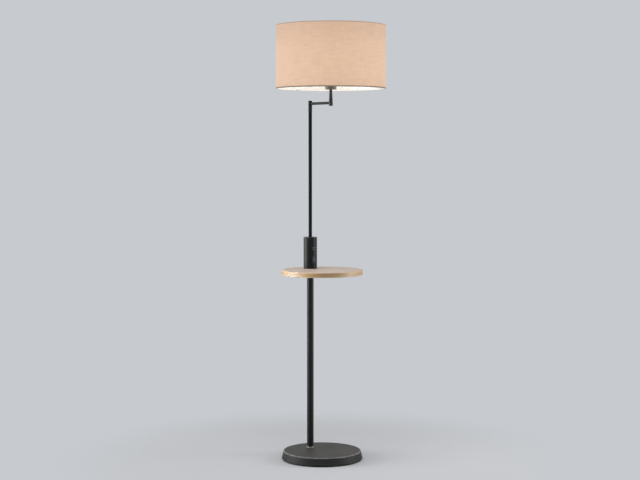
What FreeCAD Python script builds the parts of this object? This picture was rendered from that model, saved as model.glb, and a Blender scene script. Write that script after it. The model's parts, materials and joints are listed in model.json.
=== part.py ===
"""Floor lamp with a small round table, a USB port and a shade on a swinging arm.

Millimetres. The origin is the centre of the foot's underside, on the floor. +Z is up and the lamp's
front, where the switch and the USB port look, is -Y. The pole stands behind the centre of the foot,
and the arm carries the shade forward again. Each function below makes one separate piece.
"""

import FreeCAD, Part
import math
import os

# ---------------------------------------------------------------- driving dimensions
# Overall
lamp_height = 1600.0
pole_setback = 70.0  # pole axis behind the foot's centre
arm_reach = 120.0  # pole axis to shade axis

# Foot
foot_diameter = 300.0
foot_height = 33.0  # with its pad
foot_lean = 6.5  # how far the side leans in on its way up
foot_edge_radius = 3.0
foot_sheet = 1.5
pad_thickness = 5.5
pad_inset = 4.0
weight_gap = 1.0  # round the ballast's side
nut_pocket_radius = 16.0
nut_pocket_depth = 13.0
cable_channel_width = 9.0
cable_channel_height = 12.0
bush_bore = 6.6
bush_body = 11.0
bush_flange = 15.0
bush_flange_thickness = 2.0
bush_length = 9.0
bush_height = 13.0  # its axis above the floor

# Poles
lower_pole_diameter = 25.0
lower_pole_wall = 1.5
upper_pole_diameter = 13.0
upper_pole_wall = 1.0
collar_diameter = 31.0
collar_height = 6.0
collar_lip = 1.6
collar_groove = 0.4  # between the lip and the slope
collar_crown = 0.8  # its top edge, round the pole
plug_length = 18.0

# Hollow threaded rods, nuts and washers
rod_diameter = 10.0
rod_bore = 7.0
rod_chamfer = 0.7
nut_across_flats = 14.0
nut_height = 5.0
washer_diameter = 26.0
washer_thickness = 1.6

# Table
table_diameter = 300.0
table_thickness = 18.0
table_top_height = 706.0
table_band = 2.0
table_edge_radius = 1.5

# Housing on the table
housing_diameter = 50.0
housing_height = 118.0
housing_wall = 1.5
housing_floor_thickness = 6.0
cap_thickness = 2.5
cap_spigot = 5.5
cap_spigot_wall = 2.0
cap_edge_radius = 0.6
boss_diameter = 21.0
boss_depth = 22.0
boss_lip = 2.0
screw_diameter = 3.0
screw_head = 5.6
screw_length = 9.0
screw_sunk = 0.3  # its head under the shell's surface
screw_land = 0.3  # the straight part of its head
screw_slot_width = 0.8
screw_slot_depth = 0.9
grub_diameter = 4.0
grub_sunk = 0.5  # in the boss
grub_socket_depth = 2.0

# Rocker switch, in the housing's front
switch_height = 31.0  # its centre above the table top
switch_plate_width = 18.0
switch_plate_height = 33.0
switch_plate_thickness = 2.0
switch_plate_proud = 0.3  # in front of the housing's foremost line
plate_corner_radius = 2.0  # also the USB plate's
moulding_radius = 1.0  # corners of boxes and openings
switch_plate_edge = 0.8
switch_body_width = 15.6
switch_body_height = 29.6
switch_body_depth = 17.0
rocker_width = 10.0
rocker_length = 27.0
rocker_crown = 3.6  # the ends of its face in front of the pivot
rocker_dip = 1.2  # the middle of its face in front of the pivot
rocker_depth = 5.0
rocker_end_radius = 0.5
rocker_dish_radius = 12.0
rocker_pivot_depth = 1.5  # behind the plate's face
rocker_pin = 2.4
rocker_throw = 16.0  # degrees between on and off
blade_width = 4.8
blade_thickness = 0.8
blade_length = 7.0
blade_spacing = 9.0

# USB port, above the switch
usb_height = 76.0
usb_plate_width = 18.0
usb_plate_height = 14.0
usb_plate_thickness = 1.8
usb_plate_edge = 0.6
usb_opening_width = 12.5
usb_opening_height = 5.12
usb_sheet = 0.3
usb_shell_corner = 0.7
usb_depth = 14.0
usb_tongue_width = 11.1
usb_tongue_thickness = 1.84
usb_tongue_setback = 1.2
usb_tongue_drop = 0.6  # below the opening's top
usb_heel = 3.0
usb_contact_width = 1.0
usb_contact_thickness = 0.15
usb_contact_places = (-3.5, -1.0, 1.0, 3.5)
board_width = 18.0
board_length = 36.0
board_thickness = 1.6
rail_width = 1.4
rail_height = 1.2
core_width = 10.0  # the transformer, wound on a bobbin between two cheeks
core_depth = 10.0
core_height = 8.0
core_cheek = 2.0
core_winding_inset = 1.5
core_x = -1.5
capacitor_diameter = 4.8
capacitor_height = 9.0
capacitor_groove = 0.3
capacitor_groove_height = 1.5
capacitor_x = 6.3
parts_behind_port = 10.0  # the middle of both, behind the port's back

# Terminal block, on the housing's floor
block_width = 16.0
block_depth = 9.0
block_height = 13.0
block_pitch = 5.0
block_hump = 0.56  # the hump's share of the depth
block_shoulder = 0.6  # the shoulder's share of the height, at its outer edge
block_shoulder_rise = 0.12
block_wire_height = 0.3
block_wire_hole = 3.0
block_screw_hole = 2.8

# Swivel
sleeve_diameter = 14.0
sleeve_below_arm = 30.0
sleeve_above_arm = 11.0
sleeve_bearing = 14.0
sleeve_wall = 1.0
sleeve_cap_thickness = 1.5
sleeve_cap_plug = 2.0
sleeve_edge_radius = 0.5
spindle_diameter = 10.0
spindle_bore = 6.0
spindle_seat = 16.0
spindle_chamfer = 0.5
slide_washer = 1.0
ring_thickness = 1.0
ring_groove = 0.5
ring_opening = 4.0
ring_proud = 0.7  # outside the journal
stop_pin_diameter = 2.0
stop_gap = 0.15  # between a stop and the wall it doesn't touch
stop_pin_rise = 4.0  # above the bearing's top

# Arm and stem
arm_diameter = 10.0
arm_wall = 1.0
stem_length = 60.0
stem_diameter = 14.8
stem_neck_diameter = 11.4
stem_neck_length = 14.0
stem_barrel_length = 10.0
stem_end_radius = 3.0
stem_barrel_curve = 40.0
stem_neck_curve = 30.0
arm_above_stem_end = 11.0
stem_bore = 6.0
stem_rod_diameter = 8.0
stem_rod_bore = 5.0
stem_rod_length = 20.0
stem_nut_across_flats = 12.0
stem_nut_height = 3.0

# Lampholder
holder_drop = 2.0  # its underside below the shade's edge
cup_diameter = 41.0
cup_height = 20.0
cup_wall = 2.0
cup_floor = 3.0
holder_shoulder_diameter = 45.0
holder_shoulder = 2.5
holder_thread_diameter = 40.0
holder_top = 56.0  # above the cup's underside
holder_well = 28.0  # the well's floor above the cup's underside
holder_well_diameter = 29.2
holder_shell_thickness = 0.5
holder_shell_height = 24.0
holder_spigot = 6.0
shade_ring_diameter = 58.0
shade_ring_height = 7.0
ring_flange = 2.5
ring_edge_radius = 0.5
ring_collar_inset = 5.0
grip_notches = 12
grip_notch_radius = 1.5

# Shade
shade_diameter = 400.0
shade_height = 230.0
cover_thickness = 0.6
liner_thickness = 0.4
fold_radius = 1.2  # outside the cover, round its rings
frame_wire = 3.0
frame_arms = 3
first_arm = 90.0  # degrees, the arm that points to the back
hub_width = 8.0
hub_thickness = 1.5
knee_gap = 2.0  # between the clamping ring and the arms' round wire

# Bulb
bulb_diameter = 60.0
bulb_length = 108.0
bulb_glass = 1.0
bulb_cap_diameter = 26.4
bulb_cap_height = 21.0
bulb_contact_diameter = 9.6
bulb_contact_height = 2.0
bulb_tip_height = 5.0
bulb_skirt_latitude = -32.0  # degrees, where the globe meets its body
holder_contact_rise = 4.0
contact_strip = 0.5
contact_width = 5.0
bulb_cap_draw = 2.0  # how far the cap is drawn in to its insulator
bulb_neck_rise = 5.0
bulb_neck_flare = 1.0
bulb_neck_curve = 6.0
bulb_flare_rise = 3.0  # the widest bend above the body's middle
bulb_flare_curve = 18.0

# Clearances, on the radius
thread_gap = 0.05
push_gap = 0.1
running_gap = 0.05
side_gap = 0.2
overshoot = 1.0  # how far a cutting tool runs past the material

# ---------------------------------------------------------------- derived places
FOOT_TOP = foot_height
COVER_UNDER = foot_height - foot_sheet
TABLE_UNDER = table_top_height - table_thickness
HOUSING_TOP = table_top_height + housing_height
SWITCH_Z = table_top_height + switch_height
USB_Z = table_top_height + usb_height
SHADE_BOTTOM = lamp_height - shade_height
HOLDER_Z = SHADE_BOTTOM - holder_drop
STEM_BOTTOM = HOLDER_Z - stem_length
ARM_Z = STEM_BOTTOM + arm_above_stem_end
SLEEVE_BOTTOM = ARM_Z - sleeve_below_arm
SLEEVE_TOP = ARM_Z + sleeve_above_arm
BEARING_TOP = SLEEVE_BOTTOM + sleeve_bearing
POLE_TOP = SLEEVE_BOTTOM - slide_washer
STOP_Z = BEARING_TOP + stop_pin_rise

POLE = FreeCAD.Vector(0, pole_setback, 0)
SHADE = FreeCAD.Vector(0, pole_setback - arm_reach, 0)

FOOT_RADIUS = foot_diameter / 2
FOOT_LEAN = foot_lean / (FOOT_TOP - pad_thickness)  # inwards per height
FOOT_WALL = foot_sheet * math.hypot(1, FOOT_LEAN)  # measured level
ROD = rod_diameter / 2
HOUSING_RADIUS = housing_diameter / 2
HOUSING_INSIDE = HOUSING_RADIUS - housing_wall
FRONT_Y = pole_setback - HOUSING_RADIUS - switch_plate_proud
SLEEVE_INSIDE = sleeve_diameter / 2 - sleeve_wall
SHADE_RADIUS = shade_diameter / 2
LINER_RADIUS = SHADE_RADIUS - cover_thickness
WIRE_RADIUS = LINER_RADIUS - liner_thickness - side_gap - frame_wire / 2
HUB_Z = HOLDER_Z + cup_height + holder_shoulder
BULB_TIP = HOLDER_Z + holder_well + holder_contact_rise
BULB_CENTRE = BULB_TIP + bulb_length - bulb_diameter / 2

UP = FreeCAD.Vector(0, 0, 1)
BACK = FreeCAD.Vector(0, 1, 0)
RIGHT = FreeCAD.Vector(1, 0, 0)
ORIGIN = FreeCAD.Vector(0, 0, 0)


# ---------------------------------------------------------------- planes for outlines
def upright(u, v):
    """u to the right, v up."""
    return FreeCAD.Vector(u, 0, v)


def level(u, v):
    """u to the right, v to the back."""
    return FreeCAD.Vector(u, v, 0)


def sideways(u, v):
    """u to the back, v up."""
    return FreeCAD.Vector(0, u, v)


# ---------------------------------------------------------------- forms
def corner_points(before, corner, after):
    """Where the rounding of a corner starts, its middle and where it ends."""
    at, radius = FreeCAD.Vector(corner[0], corner[1], 0), corner[2]
    back = (FreeCAD.Vector(before[0], before[1], 0) - at).normalize()
    on = (FreeCAD.Vector(after[0], after[1], 0) - at).normalize()
    half = back.getAngle(on) / 2
    run = radius / math.tan(half)
    middle = (back + on).normalize() * (radius / math.sin(half) - radius)
    return [at + back * run, at + middle, at + on * run]


def outline(corners, plane=upright):
    """A closed wire through corners (u, v) or, rounded, (u, v, radius)."""
    edges, ends = [], []
    for i, corner in enumerate(corners):
        if len(corner) == 2:
            ends.append([plane(*corner)] * 2)
            continue
        start, middle, end = (
            plane(p.x, p.y)
            for p in corner_points(corners[i - 1], corner, corners[(i + 1) % len(corners)])
        )
        edges.append(Part.Arc(start, middle, end).toShape())
        ends.append([start, end])
    for (_, leave), (arrive, _) in zip(ends, ends[1:] + ends[:1]):
        if leave.distanceToPoint(arrive) > 1e-6:
            edges.append(Part.LineSegment(leave, arrive).toShape())
    return Part.Wire(Part.__sortEdges__(edges))


def solid_of(shape):
    """The one solid in a shape, facing outwards."""
    solid = shape.removeSplitter().Solids[0]
    if solid.Volume < 0:
        solid.reverse()
    return solid


def turned(corners, axis=ORIGIN):
    """A piece turned about a vertical axis from its half outline of (radius, height) corners."""
    piece = solid_of(Part.Face(outline(corners)).revolve(ORIGIN, UP, 360))
    return piece.translate(axis)


def prism(corners, plane, start, length):
    """An outline moved to start and drawn out along the vector length."""
    face = Part.Face(outline(corners, plane))
    face.translate(start)
    return solid_of(face.extrude(length))


def rod(radius, bottom, top, axis=ORIGIN):
    return Part.makeCylinder(radius, top - bottom, axis + UP * bottom, UP)


def tube(outside, inside, bottom, top, axis=ORIGIN):
    return rod(outside, bottom, top, axis).cut(
        rod(inside, bottom - overshoot, top + overshoot, axis)
    )


def bar(radius, start, end):
    """A round bar from one point to another."""
    return Part.makeCylinder(radius, (end - start).Length, start, end - start)


def block(x, y, z):
    """A box between (low, high) pairs."""
    size = [high - low for low, high in (x, y, z)]
    return Part.makeBox(*size, FreeCAD.Vector(x[0], y[0], z[0]))


def rectangle(half_width, half_height, radius=None):
    corners = [(-1, -1), (1, -1), (1, 1), (-1, 1)]
    rounding = () if radius is None else (radius,)
    return [(u * half_width, v * half_height) + rounding for u, v in corners]


def edges_in_plane(solid, axis, value):
    """The edges whose every end lies at one value of axis "x", "y" or "z"."""
    return [
        edge
        for edge in solid.Edges
        if all(abs(getattr(v.Point, axis) - value) < 1e-6 for v in edge.Vertexes)
    ]


def hexagon(across_flats):
    corner = across_flats / math.sqrt(3)
    turns = [math.radians(60 * i) for i in range(6)]
    return [(corner * math.cos(turn), corner * math.sin(turn)) for turn in turns]


def hex_nut(across_flats, bore, bottom, height, axis):
    """A nut with its corners turned off at 30 degrees, as real nuts have."""
    flat, corner = across_flats / 2, across_flats / math.sqrt(3)
    drop = (corner - flat) * math.tan(math.radians(30))
    top = bottom + height
    cone = turned(
        [(0, bottom), (flat, bottom), (corner, bottom + drop), (corner, top - drop), (flat, top), (0, top)]
    )
    nut = prism(hexagon(across_flats), level, UP * bottom, UP * height).common(cone)
    return solid_of(nut.cut(rod(bore, bottom - overshoot, top + overshoot))).translate(axis)


def threaded_rod(radius, bore, bottom, top, axis):
    """A hollow rod at its thread's outer size, with both ends chamfered."""
    inner = bore / 2
    chamfer = min(rod_chamfer, (radius - inner) / 2)
    return turned(
        [
            (inner, bottom),
            (radius - chamfer, bottom),
            (radius, bottom + chamfer),
            (radius, top - chamfer),
            (radius - chamfer, top),
            (inner, top),
        ],
        axis,
    )


# ---------------------------------------------------------------- foot
def foot_outside():
    """Everything inside the foot cover's outer surface."""
    return turned(
        [
            (0, pad_thickness),
            (FOOT_RADIUS, pad_thickness),
            (FOOT_RADIUS - foot_lean, FOOT_TOP, foot_edge_radius),
            (0, FOOT_TOP),
        ]
    )


def foot_pad():
    pad = rod(FOOT_RADIUS - pad_inset, 0, pad_thickness)
    return pad.cut(rod(nut_pocket_radius, -overshoot, pad_thickness + overshoot, POLE))


def bush_axis_point(y):
    return FreeCAD.Vector(0, y, bush_height)


def foot_cover():
    bottom_inside = FOOT_RADIUS - FOOT_WALL
    top_inside = bottom_inside - foot_lean + foot_sheet * FOOT_LEAN
    cover = turned(
        [
            (0, FOOT_TOP),
            (FOOT_RADIUS - foot_lean, FOOT_TOP, foot_edge_radius),
            (FOOT_RADIUS, pad_thickness),
            (bottom_inside, pad_thickness),
            (top_inside, COVER_UNDER, foot_edge_radius - foot_sheet),
            (0, COVER_UNDER),
        ]
    )
    cover = cover.cut(rod(ROD + push_gap, COVER_UNDER - overshoot, FOOT_TOP + overshoot, POLE))
    hole = bar(
        bush_body / 2 + push_gap, bush_axis_point(FOOT_RADIUS / 2), bush_axis_point(FOOT_RADIUS + overshoot)
    )
    return solid_of(cover.cut(hole))


def foot_weight():
    """Cast ballast that fills the cover, with a pocket for the nut and a channel for the cable."""
    side = FOOT_RADIUS - FOOT_WALL - weight_gap
    weight = turned(
        [
            (0, pad_thickness),
            (side, pad_thickness),
            (side - foot_lean, COVER_UNDER, foot_edge_radius),
            (0, COVER_UNDER),
        ]
    )
    pocket_top = pad_thickness + nut_pocket_depth
    weight = weight.cut(rod(nut_pocket_radius, 0, pocket_top, POLE))
    weight = weight.cut(rod(ROD + push_gap, 0, foot_height, POLE))
    half = cable_channel_width / 2
    channel = block(
        (-half, half), (pole_setback, FOOT_RADIUS), (0, pad_thickness + cable_channel_height)
    )
    bush_room = bar(
        bush_body / 2 + side_gap,
        bush_axis_point(FOOT_RADIUS - bush_length - 2 * overshoot),
        bush_axis_point(FOOT_RADIUS),
    )
    return solid_of(weight.cut(channel).cut(bush_room))


def cable_bush():
    """Flanged bush in the foot's back wall, its flange cut to the wall's lean."""
    outer = bush_axis_point(FOOT_RADIUS + bush_flange_thickness / 2)
    inner = bush_axis_point(outer.y - bush_length)
    flange = bar(bush_flange / 2, inner, outer).cut(foot_outside())
    body = bar(bush_body / 2, inner, outer)
    bore = bar(bush_bore / 2, inner - BACK * overshoot, outer + BACK * overshoot)
    return solid_of(flange.fuse(body).cut(bore))


def foot_washer():
    top = pad_thickness + nut_pocket_depth
    return tube(washer_diameter / 2, ROD + push_gap, top - washer_thickness, top, POLE)


def foot_nut():
    top = pad_thickness + nut_pocket_depth - washer_thickness
    return hex_nut(nut_across_flats, ROD + thread_gap, top - nut_height, nut_height, POLE)


def foot_rod():
    bottom = pad_thickness + nut_pocket_depth - washer_thickness - nut_height - overshoot
    return threaded_rod(ROD, rod_bore, bottom, FOOT_TOP + plug_length - overshoot, POLE)


# ---------------------------------------------------------------- lower pole
def pole_plug(bottom):
    """A threaded plug, pressed into an end of the lower pole."""
    radius = lower_pole_diameter / 2 - lower_pole_wall - thread_gap
    return tube(radius, ROD + thread_gap, bottom, bottom + plug_length, POLE)


def lower_pole():
    radius = lower_pole_diameter / 2
    return tube(radius, radius - lower_pole_wall, FOOT_TOP, TABLE_UNDER, POLE)


def pole_collar():
    """Turned ring round the pole's foot: a lip below and a slope up to the pole."""
    inside = lower_pole_diameter / 2 + thread_gap
    outside = collar_diameter / 2
    neck = (outside + inside) / 2
    top = FOOT_TOP + collar_height
    return turned(
        [
            (inside, FOOT_TOP),
            (outside, FOOT_TOP),
            (outside, FOOT_TOP + collar_lip, collar_lip / 2),
            (neck, FOOT_TOP + collar_lip + collar_groove, collar_groove),
            (inside + collar_crown, top, collar_crown / 2),
            (inside, top),
        ],
        POLE,
    )


# ---------------------------------------------------------------- table
def table_board():
    board = rod(table_diameter / 2 - table_band, TABLE_UNDER, table_top_height)
    hole = rod(ROD + push_gap, TABLE_UNDER - overshoot, table_top_height + overshoot, POLE)
    return board.cut(hole)


def table_edge():
    """The band glued round the board, with its two outer edges rounded."""
    outside = table_diameter / 2
    inside = outside - table_band
    return turned(
        [
            (inside, TABLE_UNDER),
            (outside, TABLE_UNDER, table_edge_radius),
            (outside, table_top_height, table_edge_radius),
            (inside, table_top_height),
        ]
    )


def table_rod():
    top = table_top_height + housing_floor_thickness + nut_height + overshoot
    return threaded_rod(ROD, rod_bore, TABLE_UNDER - plug_length + overshoot, top, POLE)


# ---------------------------------------------------------------- housing
def housing_screw_axis(radius):
    """A point on the axis of the screw in the housing's back."""
    return POLE + FreeCAD.Vector(0, radius, table_top_height + housing_floor_thickness / 2)


def housing_floor():
    top = table_top_height + housing_floor_thickness
    floor = tube(HOUSING_INSIDE - push_gap, ROD + push_gap, table_top_height, top, POLE)
    return solid_of(floor.cut(housing_screw(thread_gap)))


def housing_nut():
    bottom = table_top_height + housing_floor_thickness
    return hex_nut(nut_across_flats, ROD + thread_gap, bottom, nut_height, POLE)


def panel(half_width, half_height, radius, z, front, back):
    """A box with rounded corners in the housing's front, between two values of y."""
    return prism(
        rectangle(half_width, half_height, radius),
        upright,
        FreeCAD.Vector(0, front, z),
        BACK * (back - front),
    )


def switch_plate_seat(gap):
    return panel(
        switch_plate_width / 2 + gap,
        switch_plate_height / 2 + gap,
        plate_corner_radius,
        SWITCH_Z,
        FRONT_Y,
        FRONT_Y + switch_plate_thickness,
    )


def usb_plate_seat(gap):
    return panel(
        usb_plate_width / 2 + gap,
        usb_plate_height / 2 + gap,
        plate_corner_radius,
        USB_Z,
        FRONT_Y,
        FRONT_Y + usb_plate_thickness,
    )


def housing_shell():
    """The tube, with two openings in its front and a flat milled round each for its plate."""
    shell = tube(
        HOUSING_RADIUS, HOUSING_INSIDE, table_top_height, HOUSING_TOP - cap_thickness, POLE
    )
    switch_hole = panel(
        switch_body_width / 2 + side_gap,
        switch_body_height / 2 + side_gap,
        moulding_radius,
        SWITCH_Z,
        FRONT_Y - overshoot,
        pole_setback,
    )
    usb_hole = panel(
        board_width / 2 - rail_width / 2 + side_gap,
        usb_plate_height / 2 - overshoot,
        moulding_radius,
        USB_Z,
        FRONT_Y - overshoot,
        pole_setback,
    )
    for cutter in (switch_hole, usb_hole, switch_plate_seat(push_gap), usb_plate_seat(push_gap)):
        shell = shell.cut(cutter)
    return solid_of(shell.cut(housing_screw(thread_gap)))


def housing_screw(gap=0.0):
    """Countersunk screw through the shell's back into the floor's edge."""
    head = screw_head / 2
    shank = screw_diameter / 2
    start = housing_screw_axis(HOUSING_RADIUS - screw_sunk)
    corners = [
        (0, 0),
        (head + gap, 0),
        (head + gap, screw_land),
        (shank + gap, screw_land + head - shank),
        (shank + gap, screw_length),
        (0, screw_length),
    ]
    screw = turned(corners)
    screw.rotate(ORIGIN, RIGHT, 90)  # its length now runs to the front
    screw.translate(start)
    if gap:
        return screw.fuse(bar(head + gap, start, start + BACK * overshoot))
    half_slot = screw_slot_width / 2
    slot = block((-head, head), (-half_slot, half_slot), (-overshoot, screw_slot_depth))
    slot.rotate(ORIGIN, RIGHT, 90)
    return solid_of(screw.cut(slot.translate(start)))


def housing_cap():
    """Flat cap with a spigot in the shell and a boss that holds the upper pole."""
    bore = upper_pole_diameter / 2 + thread_gap
    spigot = HOUSING_INSIDE - push_gap
    under = HOUSING_TOP - cap_thickness
    boss_bottom = under - boss_depth
    spigot_bottom = under - cap_spigot
    cap = turned(
        [
            (bore, HOUSING_TOP),
            (HOUSING_RADIUS, HOUSING_TOP, cap_edge_radius),
            (HOUSING_RADIUS, under),
            (spigot, under),
            (spigot, spigot_bottom),
            (spigot - cap_spigot_wall, spigot_bottom),
            (spigot - cap_spigot_wall, under),
            (boss_diameter / 2, under),
            (boss_diameter / 2, boss_bottom),
            (bore - 2 * upper_pole_wall, boss_bottom),
            (bore - 2 * upper_pole_wall, boss_bottom + boss_lip),
            (bore, boss_bottom + boss_lip),
        ],
        POLE,
    )
    return solid_of(cap.cut(grub_axis_bar(thread_gap, boss_diameter / 2 + overshoot)))


def grub_axis_bar(gap, reach):
    height = HOUSING_TOP - cap_thickness - boss_depth / 2
    start = POLE + FreeCAD.Vector(0, upper_pole_diameter / 2 + thread_gap, height)
    return bar(grub_diameter / 2 + gap, start, POLE + FreeCAD.Vector(0, reach, height))


def pole_grub():
    """Grub screw in the boss, pressed on the upper pole, with its hexagon socket."""
    reach = boss_diameter / 2 - grub_sunk
    height = HOUSING_TOP - cap_thickness - boss_depth / 2
    socket_start = POLE + FreeCAD.Vector(0, reach - grub_socket_depth, height)
    socket_length = BACK * (grub_socket_depth + overshoot)
    socket = prism(hexagon(grub_diameter / 2), upright, socket_start, socket_length)
    return solid_of(grub_axis_bar(0, reach).cut(socket))


# ---------------------------------------------------------------- rocker switch
def rocker_pivot():
    return FreeCAD.Vector(0, FRONT_Y + rocker_pivot_depth, SWITCH_Z)


def switch_body():
    """Plate and box in one moulding, hollowed for the rocker, with holes for its pins."""
    plate = switch_plate_seat(0)
    plate = plate.makeFillet(switch_plate_edge, edges_in_plane(plate, "y", FRONT_Y))
    plate_back = FRONT_Y + switch_plate_thickness
    box = panel(
        switch_body_width / 2,
        switch_body_height / 2,
        moulding_radius,
        SWITCH_Z,
        plate_back,
        plate_back + switch_body_depth,
    )
    half_width = rocker_width / 2 + side_gap
    well_radius = rocker_length / 2 + side_gap
    pivot = rocker_pivot()
    start = pivot - RIGHT * half_width
    round_well = Part.makeCylinder(well_radius, 2 * half_width, start, RIGHT)
    deep = block(
        (-half_width, half_width),
        (FRONT_Y - rocker_length, pivot.y + rocker_depth + rocker_length / 4),
        (SWITCH_Z - well_radius, SWITCH_Z + well_radius),
    )
    body = plate.fuse(box).cut(round_well.common(deep))
    reach = rocker_width / 2 + rocker_pin / 2 + side_gap
    pin_hole = bar(rocker_pin / 2 + running_gap, pivot - RIGHT * reach, pivot + RIGHT * reach)
    return solid_of(body.cut(pin_hole))


def switch_rocker():
    """The rocker: a dished face, a tapered foot and two pins, inside a circle about the pivot."""
    radius = rocker_length / 2
    face_rise = math.sqrt(radius**2 - rocker_crown**2)
    heel_depth = rocker_depth / 2
    heel_rise = math.sqrt(radius**2 - heel_depth**2)
    foot_rise = rocker_length / 6
    corners = [
        (-rocker_crown, face_rise, rocker_end_radius),
        (heel_depth, heel_rise),
        (rocker_depth, foot_rise, moulding_radius),
        (rocker_depth, -foot_rise, moulding_radius),
        (heel_depth, -heel_rise),
        (-rocker_crown, -face_rise, rocker_end_radius),
        (-rocker_dip, 0, rocker_dish_radius),
    ]
    pivot = rocker_pivot()
    half = rocker_width / 2
    rocker = prism(corners, sideways, pivot - RIGHT * half, RIGHT * rocker_width)
    reach = half + rocker_pin / 2
    pins = bar(rocker_pin / 2, pivot - RIGHT * reach, pivot + RIGHT * reach)
    rocker = solid_of(rocker.fuse(pins))
    rocker.rotate(pivot, RIGHT, -rocker_throw / 2)  # its upper end is pressed in: on
    return rocker


def switch_blade(side):
    """A blade terminal behind the switch, with its hole: side -1 is the lower one, 1 the upper."""
    back = FRONT_Y + switch_plate_thickness + switch_body_depth
    z = SWITCH_Z + side * blade_spacing
    blade = block(
        (-blade_width / 2, blade_width / 2),
        (back, back + blade_length),
        (z - blade_thickness / 2, z + blade_thickness / 2),
    )
    hole_axis = FreeCAD.Vector(0, back + blade_length - blade_width / 2, 0)
    return solid_of(blade.cut(rod(blade_width / 6, z - overshoot, z + overshoot, hole_axis)))


# ---------------------------------------------------------------- USB port
def usb_plate():
    """Front plate with the slot, and two rails behind it that the board lies on."""
    plate = usb_plate_seat(0)
    plate = plate.makeFillet(usb_plate_edge, edges_in_plane(plate, "y", FRONT_Y))
    slot = panel(
        usb_opening_width / 2 + usb_sheet + push_gap,
        usb_opening_height / 2 + usb_sheet + push_gap,
        usb_shell_corner + push_gap,
        USB_Z,
        FRONT_Y - overshoot,
        pole_setback,
    )
    plate_back = FRONT_Y + usb_plate_thickness
    rail_top = USB_Z - usb_opening_height / 2 - usb_sheet - board_thickness - push_gap
    for side in (-1, 1):
        middle = side * (board_width / 2 - 2 * rail_width)
        rail = block(
            (middle - rail_width / 2, middle + rail_width / 2),
            (plate_back - overshoot, plate_back + board_length / 2),
            (rail_top - rail_height, rail_top),
        )
        plate = plate.fuse(rail)
    return solid_of(plate.cut(slot))


def usb_shell():
    """Folded steel shell, closed at the back."""
    half_width = usb_opening_width / 2
    half_height = usb_opening_height / 2
    back = FRONT_Y + usb_depth
    corner = usb_shell_corner
    outside = panel(half_width + usb_sheet, half_height + usb_sheet, corner, USB_Z, FRONT_Y, back)
    corner -= usb_sheet
    inside = panel(half_width, half_height, corner, USB_Z, FRONT_Y - overshoot, back - usb_sheet)
    return solid_of(outside.cut(inside))


def usb_tongue():
    """The insulator: a block across the back and the tongue that carries the contacts."""
    back = FRONT_Y + usb_depth - usb_sheet
    top = USB_Z + usb_opening_height / 2
    heel = block(
        (-usb_opening_width / 2 + push_gap, usb_opening_width / 2 - push_gap),
        (back - usb_heel, back),
        (USB_Z - usb_opening_height / 2 + push_gap, top - push_gap),
    )
    tongue_top = top - usb_tongue_drop
    tongue = block(
        (-usb_tongue_width / 2, usb_tongue_width / 2),
        (FRONT_Y + usb_tongue_setback, back),
        (tongue_top - usb_tongue_thickness, tongue_top),
    )
    return solid_of(heel.fuse(tongue))


def usb_contact(x):
    """A spring strip along the tongue's underside."""
    under = USB_Z + usb_opening_height / 2 - usb_tongue_drop - usb_tongue_thickness
    half = usb_contact_width / 2
    front = FRONT_Y + usb_tongue_setback + usb_tongue_drop
    back = FRONT_Y + usb_depth - usb_sheet - usb_heel
    return block((x - half, x + half), (front, back), (under - usb_contact_thickness, under))


def board_top():
    return USB_Z - usb_opening_height / 2 - usb_sheet - push_gap / 2


def usb_board():
    start = FRONT_Y + usb_plate_thickness + side_gap
    board = prism(
        rectangle(board_width / 2, board_length / 2, moulding_radius),
        level,
        FreeCAD.Vector(0, start + board_length / 2, board_top() - board_thickness),
        UP * board_thickness,
    )
    inside = rod(HOUSING_INSIDE - side_gap, 0, lamp_height, POLE)
    return solid_of(board.common(inside))


def usb_transformer():
    """Wound core on the board: its winding lies back between four cheeks, front and rear."""
    middle = FreeCAD.Vector(core_x, FRONT_Y + usb_depth + parts_behind_port, board_top())
    half_width, half_depth = core_width / 2, core_depth / 2
    winding = half_depth - core_winding_inset
    between = (core_cheek - half_width, half_width - core_cheek)
    rise = (core_cheek, core_height - core_cheek)
    core = block((-half_width, half_width), (-half_depth, half_depth), (0, core_height))
    core = core.cut(block(between, (winding, half_depth + overshoot), rise))
    core = core.cut(block(between, (-half_depth - overshoot, -winding), rise))
    return solid_of(core).translate(middle)


def usb_capacitor():
    """Round capacitor on the board, with its rolled groove."""
    radius = capacitor_diameter / 2
    groove, groove_z = capacitor_groove, capacitor_groove_height
    return turned(
        [
            (0, 0),
            (radius, 0, groove),
            (radius, groove_z - groove),
            (radius - groove, groove_z),
            (radius, groove_z + groove),
            (radius, capacitor_height, groove),
            (0, capacitor_height),
        ],
        FreeCAD.Vector(capacitor_x, FRONT_Y + usb_depth + parts_behind_port, board_top()),
    )


# ---------------------------------------------------------------- terminal block
def terminal_block():
    """Three-way block: a humped outline with a wire hole and a screw hole at each way."""
    bottom = table_top_height + housing_floor_thickness
    middle = pole_setback + nut_across_flats / math.sqrt(3) + side_gap + block_depth / 2
    half = block_depth / 2
    hump = half * block_hump
    shoulder = block_height * block_shoulder
    foot_of_hump = shoulder + block_height * block_shoulder_rise
    radius = block_depth / 15
    corners = [
        (-half, 0),
        (half, 0),
        (half, shoulder, radius),
        (hump, foot_of_hump, radius),
        (hump, block_height, radius),
        (-hump, block_height, radius),
        (-hump, foot_of_hump, radius),
        (-half, shoulder, radius),
    ]
    start = FreeCAD.Vector(-block_width / 2, middle, bottom)
    body = prism(corners, sideways, start, RIGHT * block_width)
    for way in (-1, 0, 1):
        place = FreeCAD.Vector(way * block_pitch, middle, bottom + block_height * block_wire_height)
        reach = BACK * (half + overshoot)
        body = body.cut(bar(block_wire_hole / 2, place - reach, place + reach))
        body = body.cut(bar(block_screw_hole / 2, place, place + UP * block_height))
    return solid_of(body)


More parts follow.
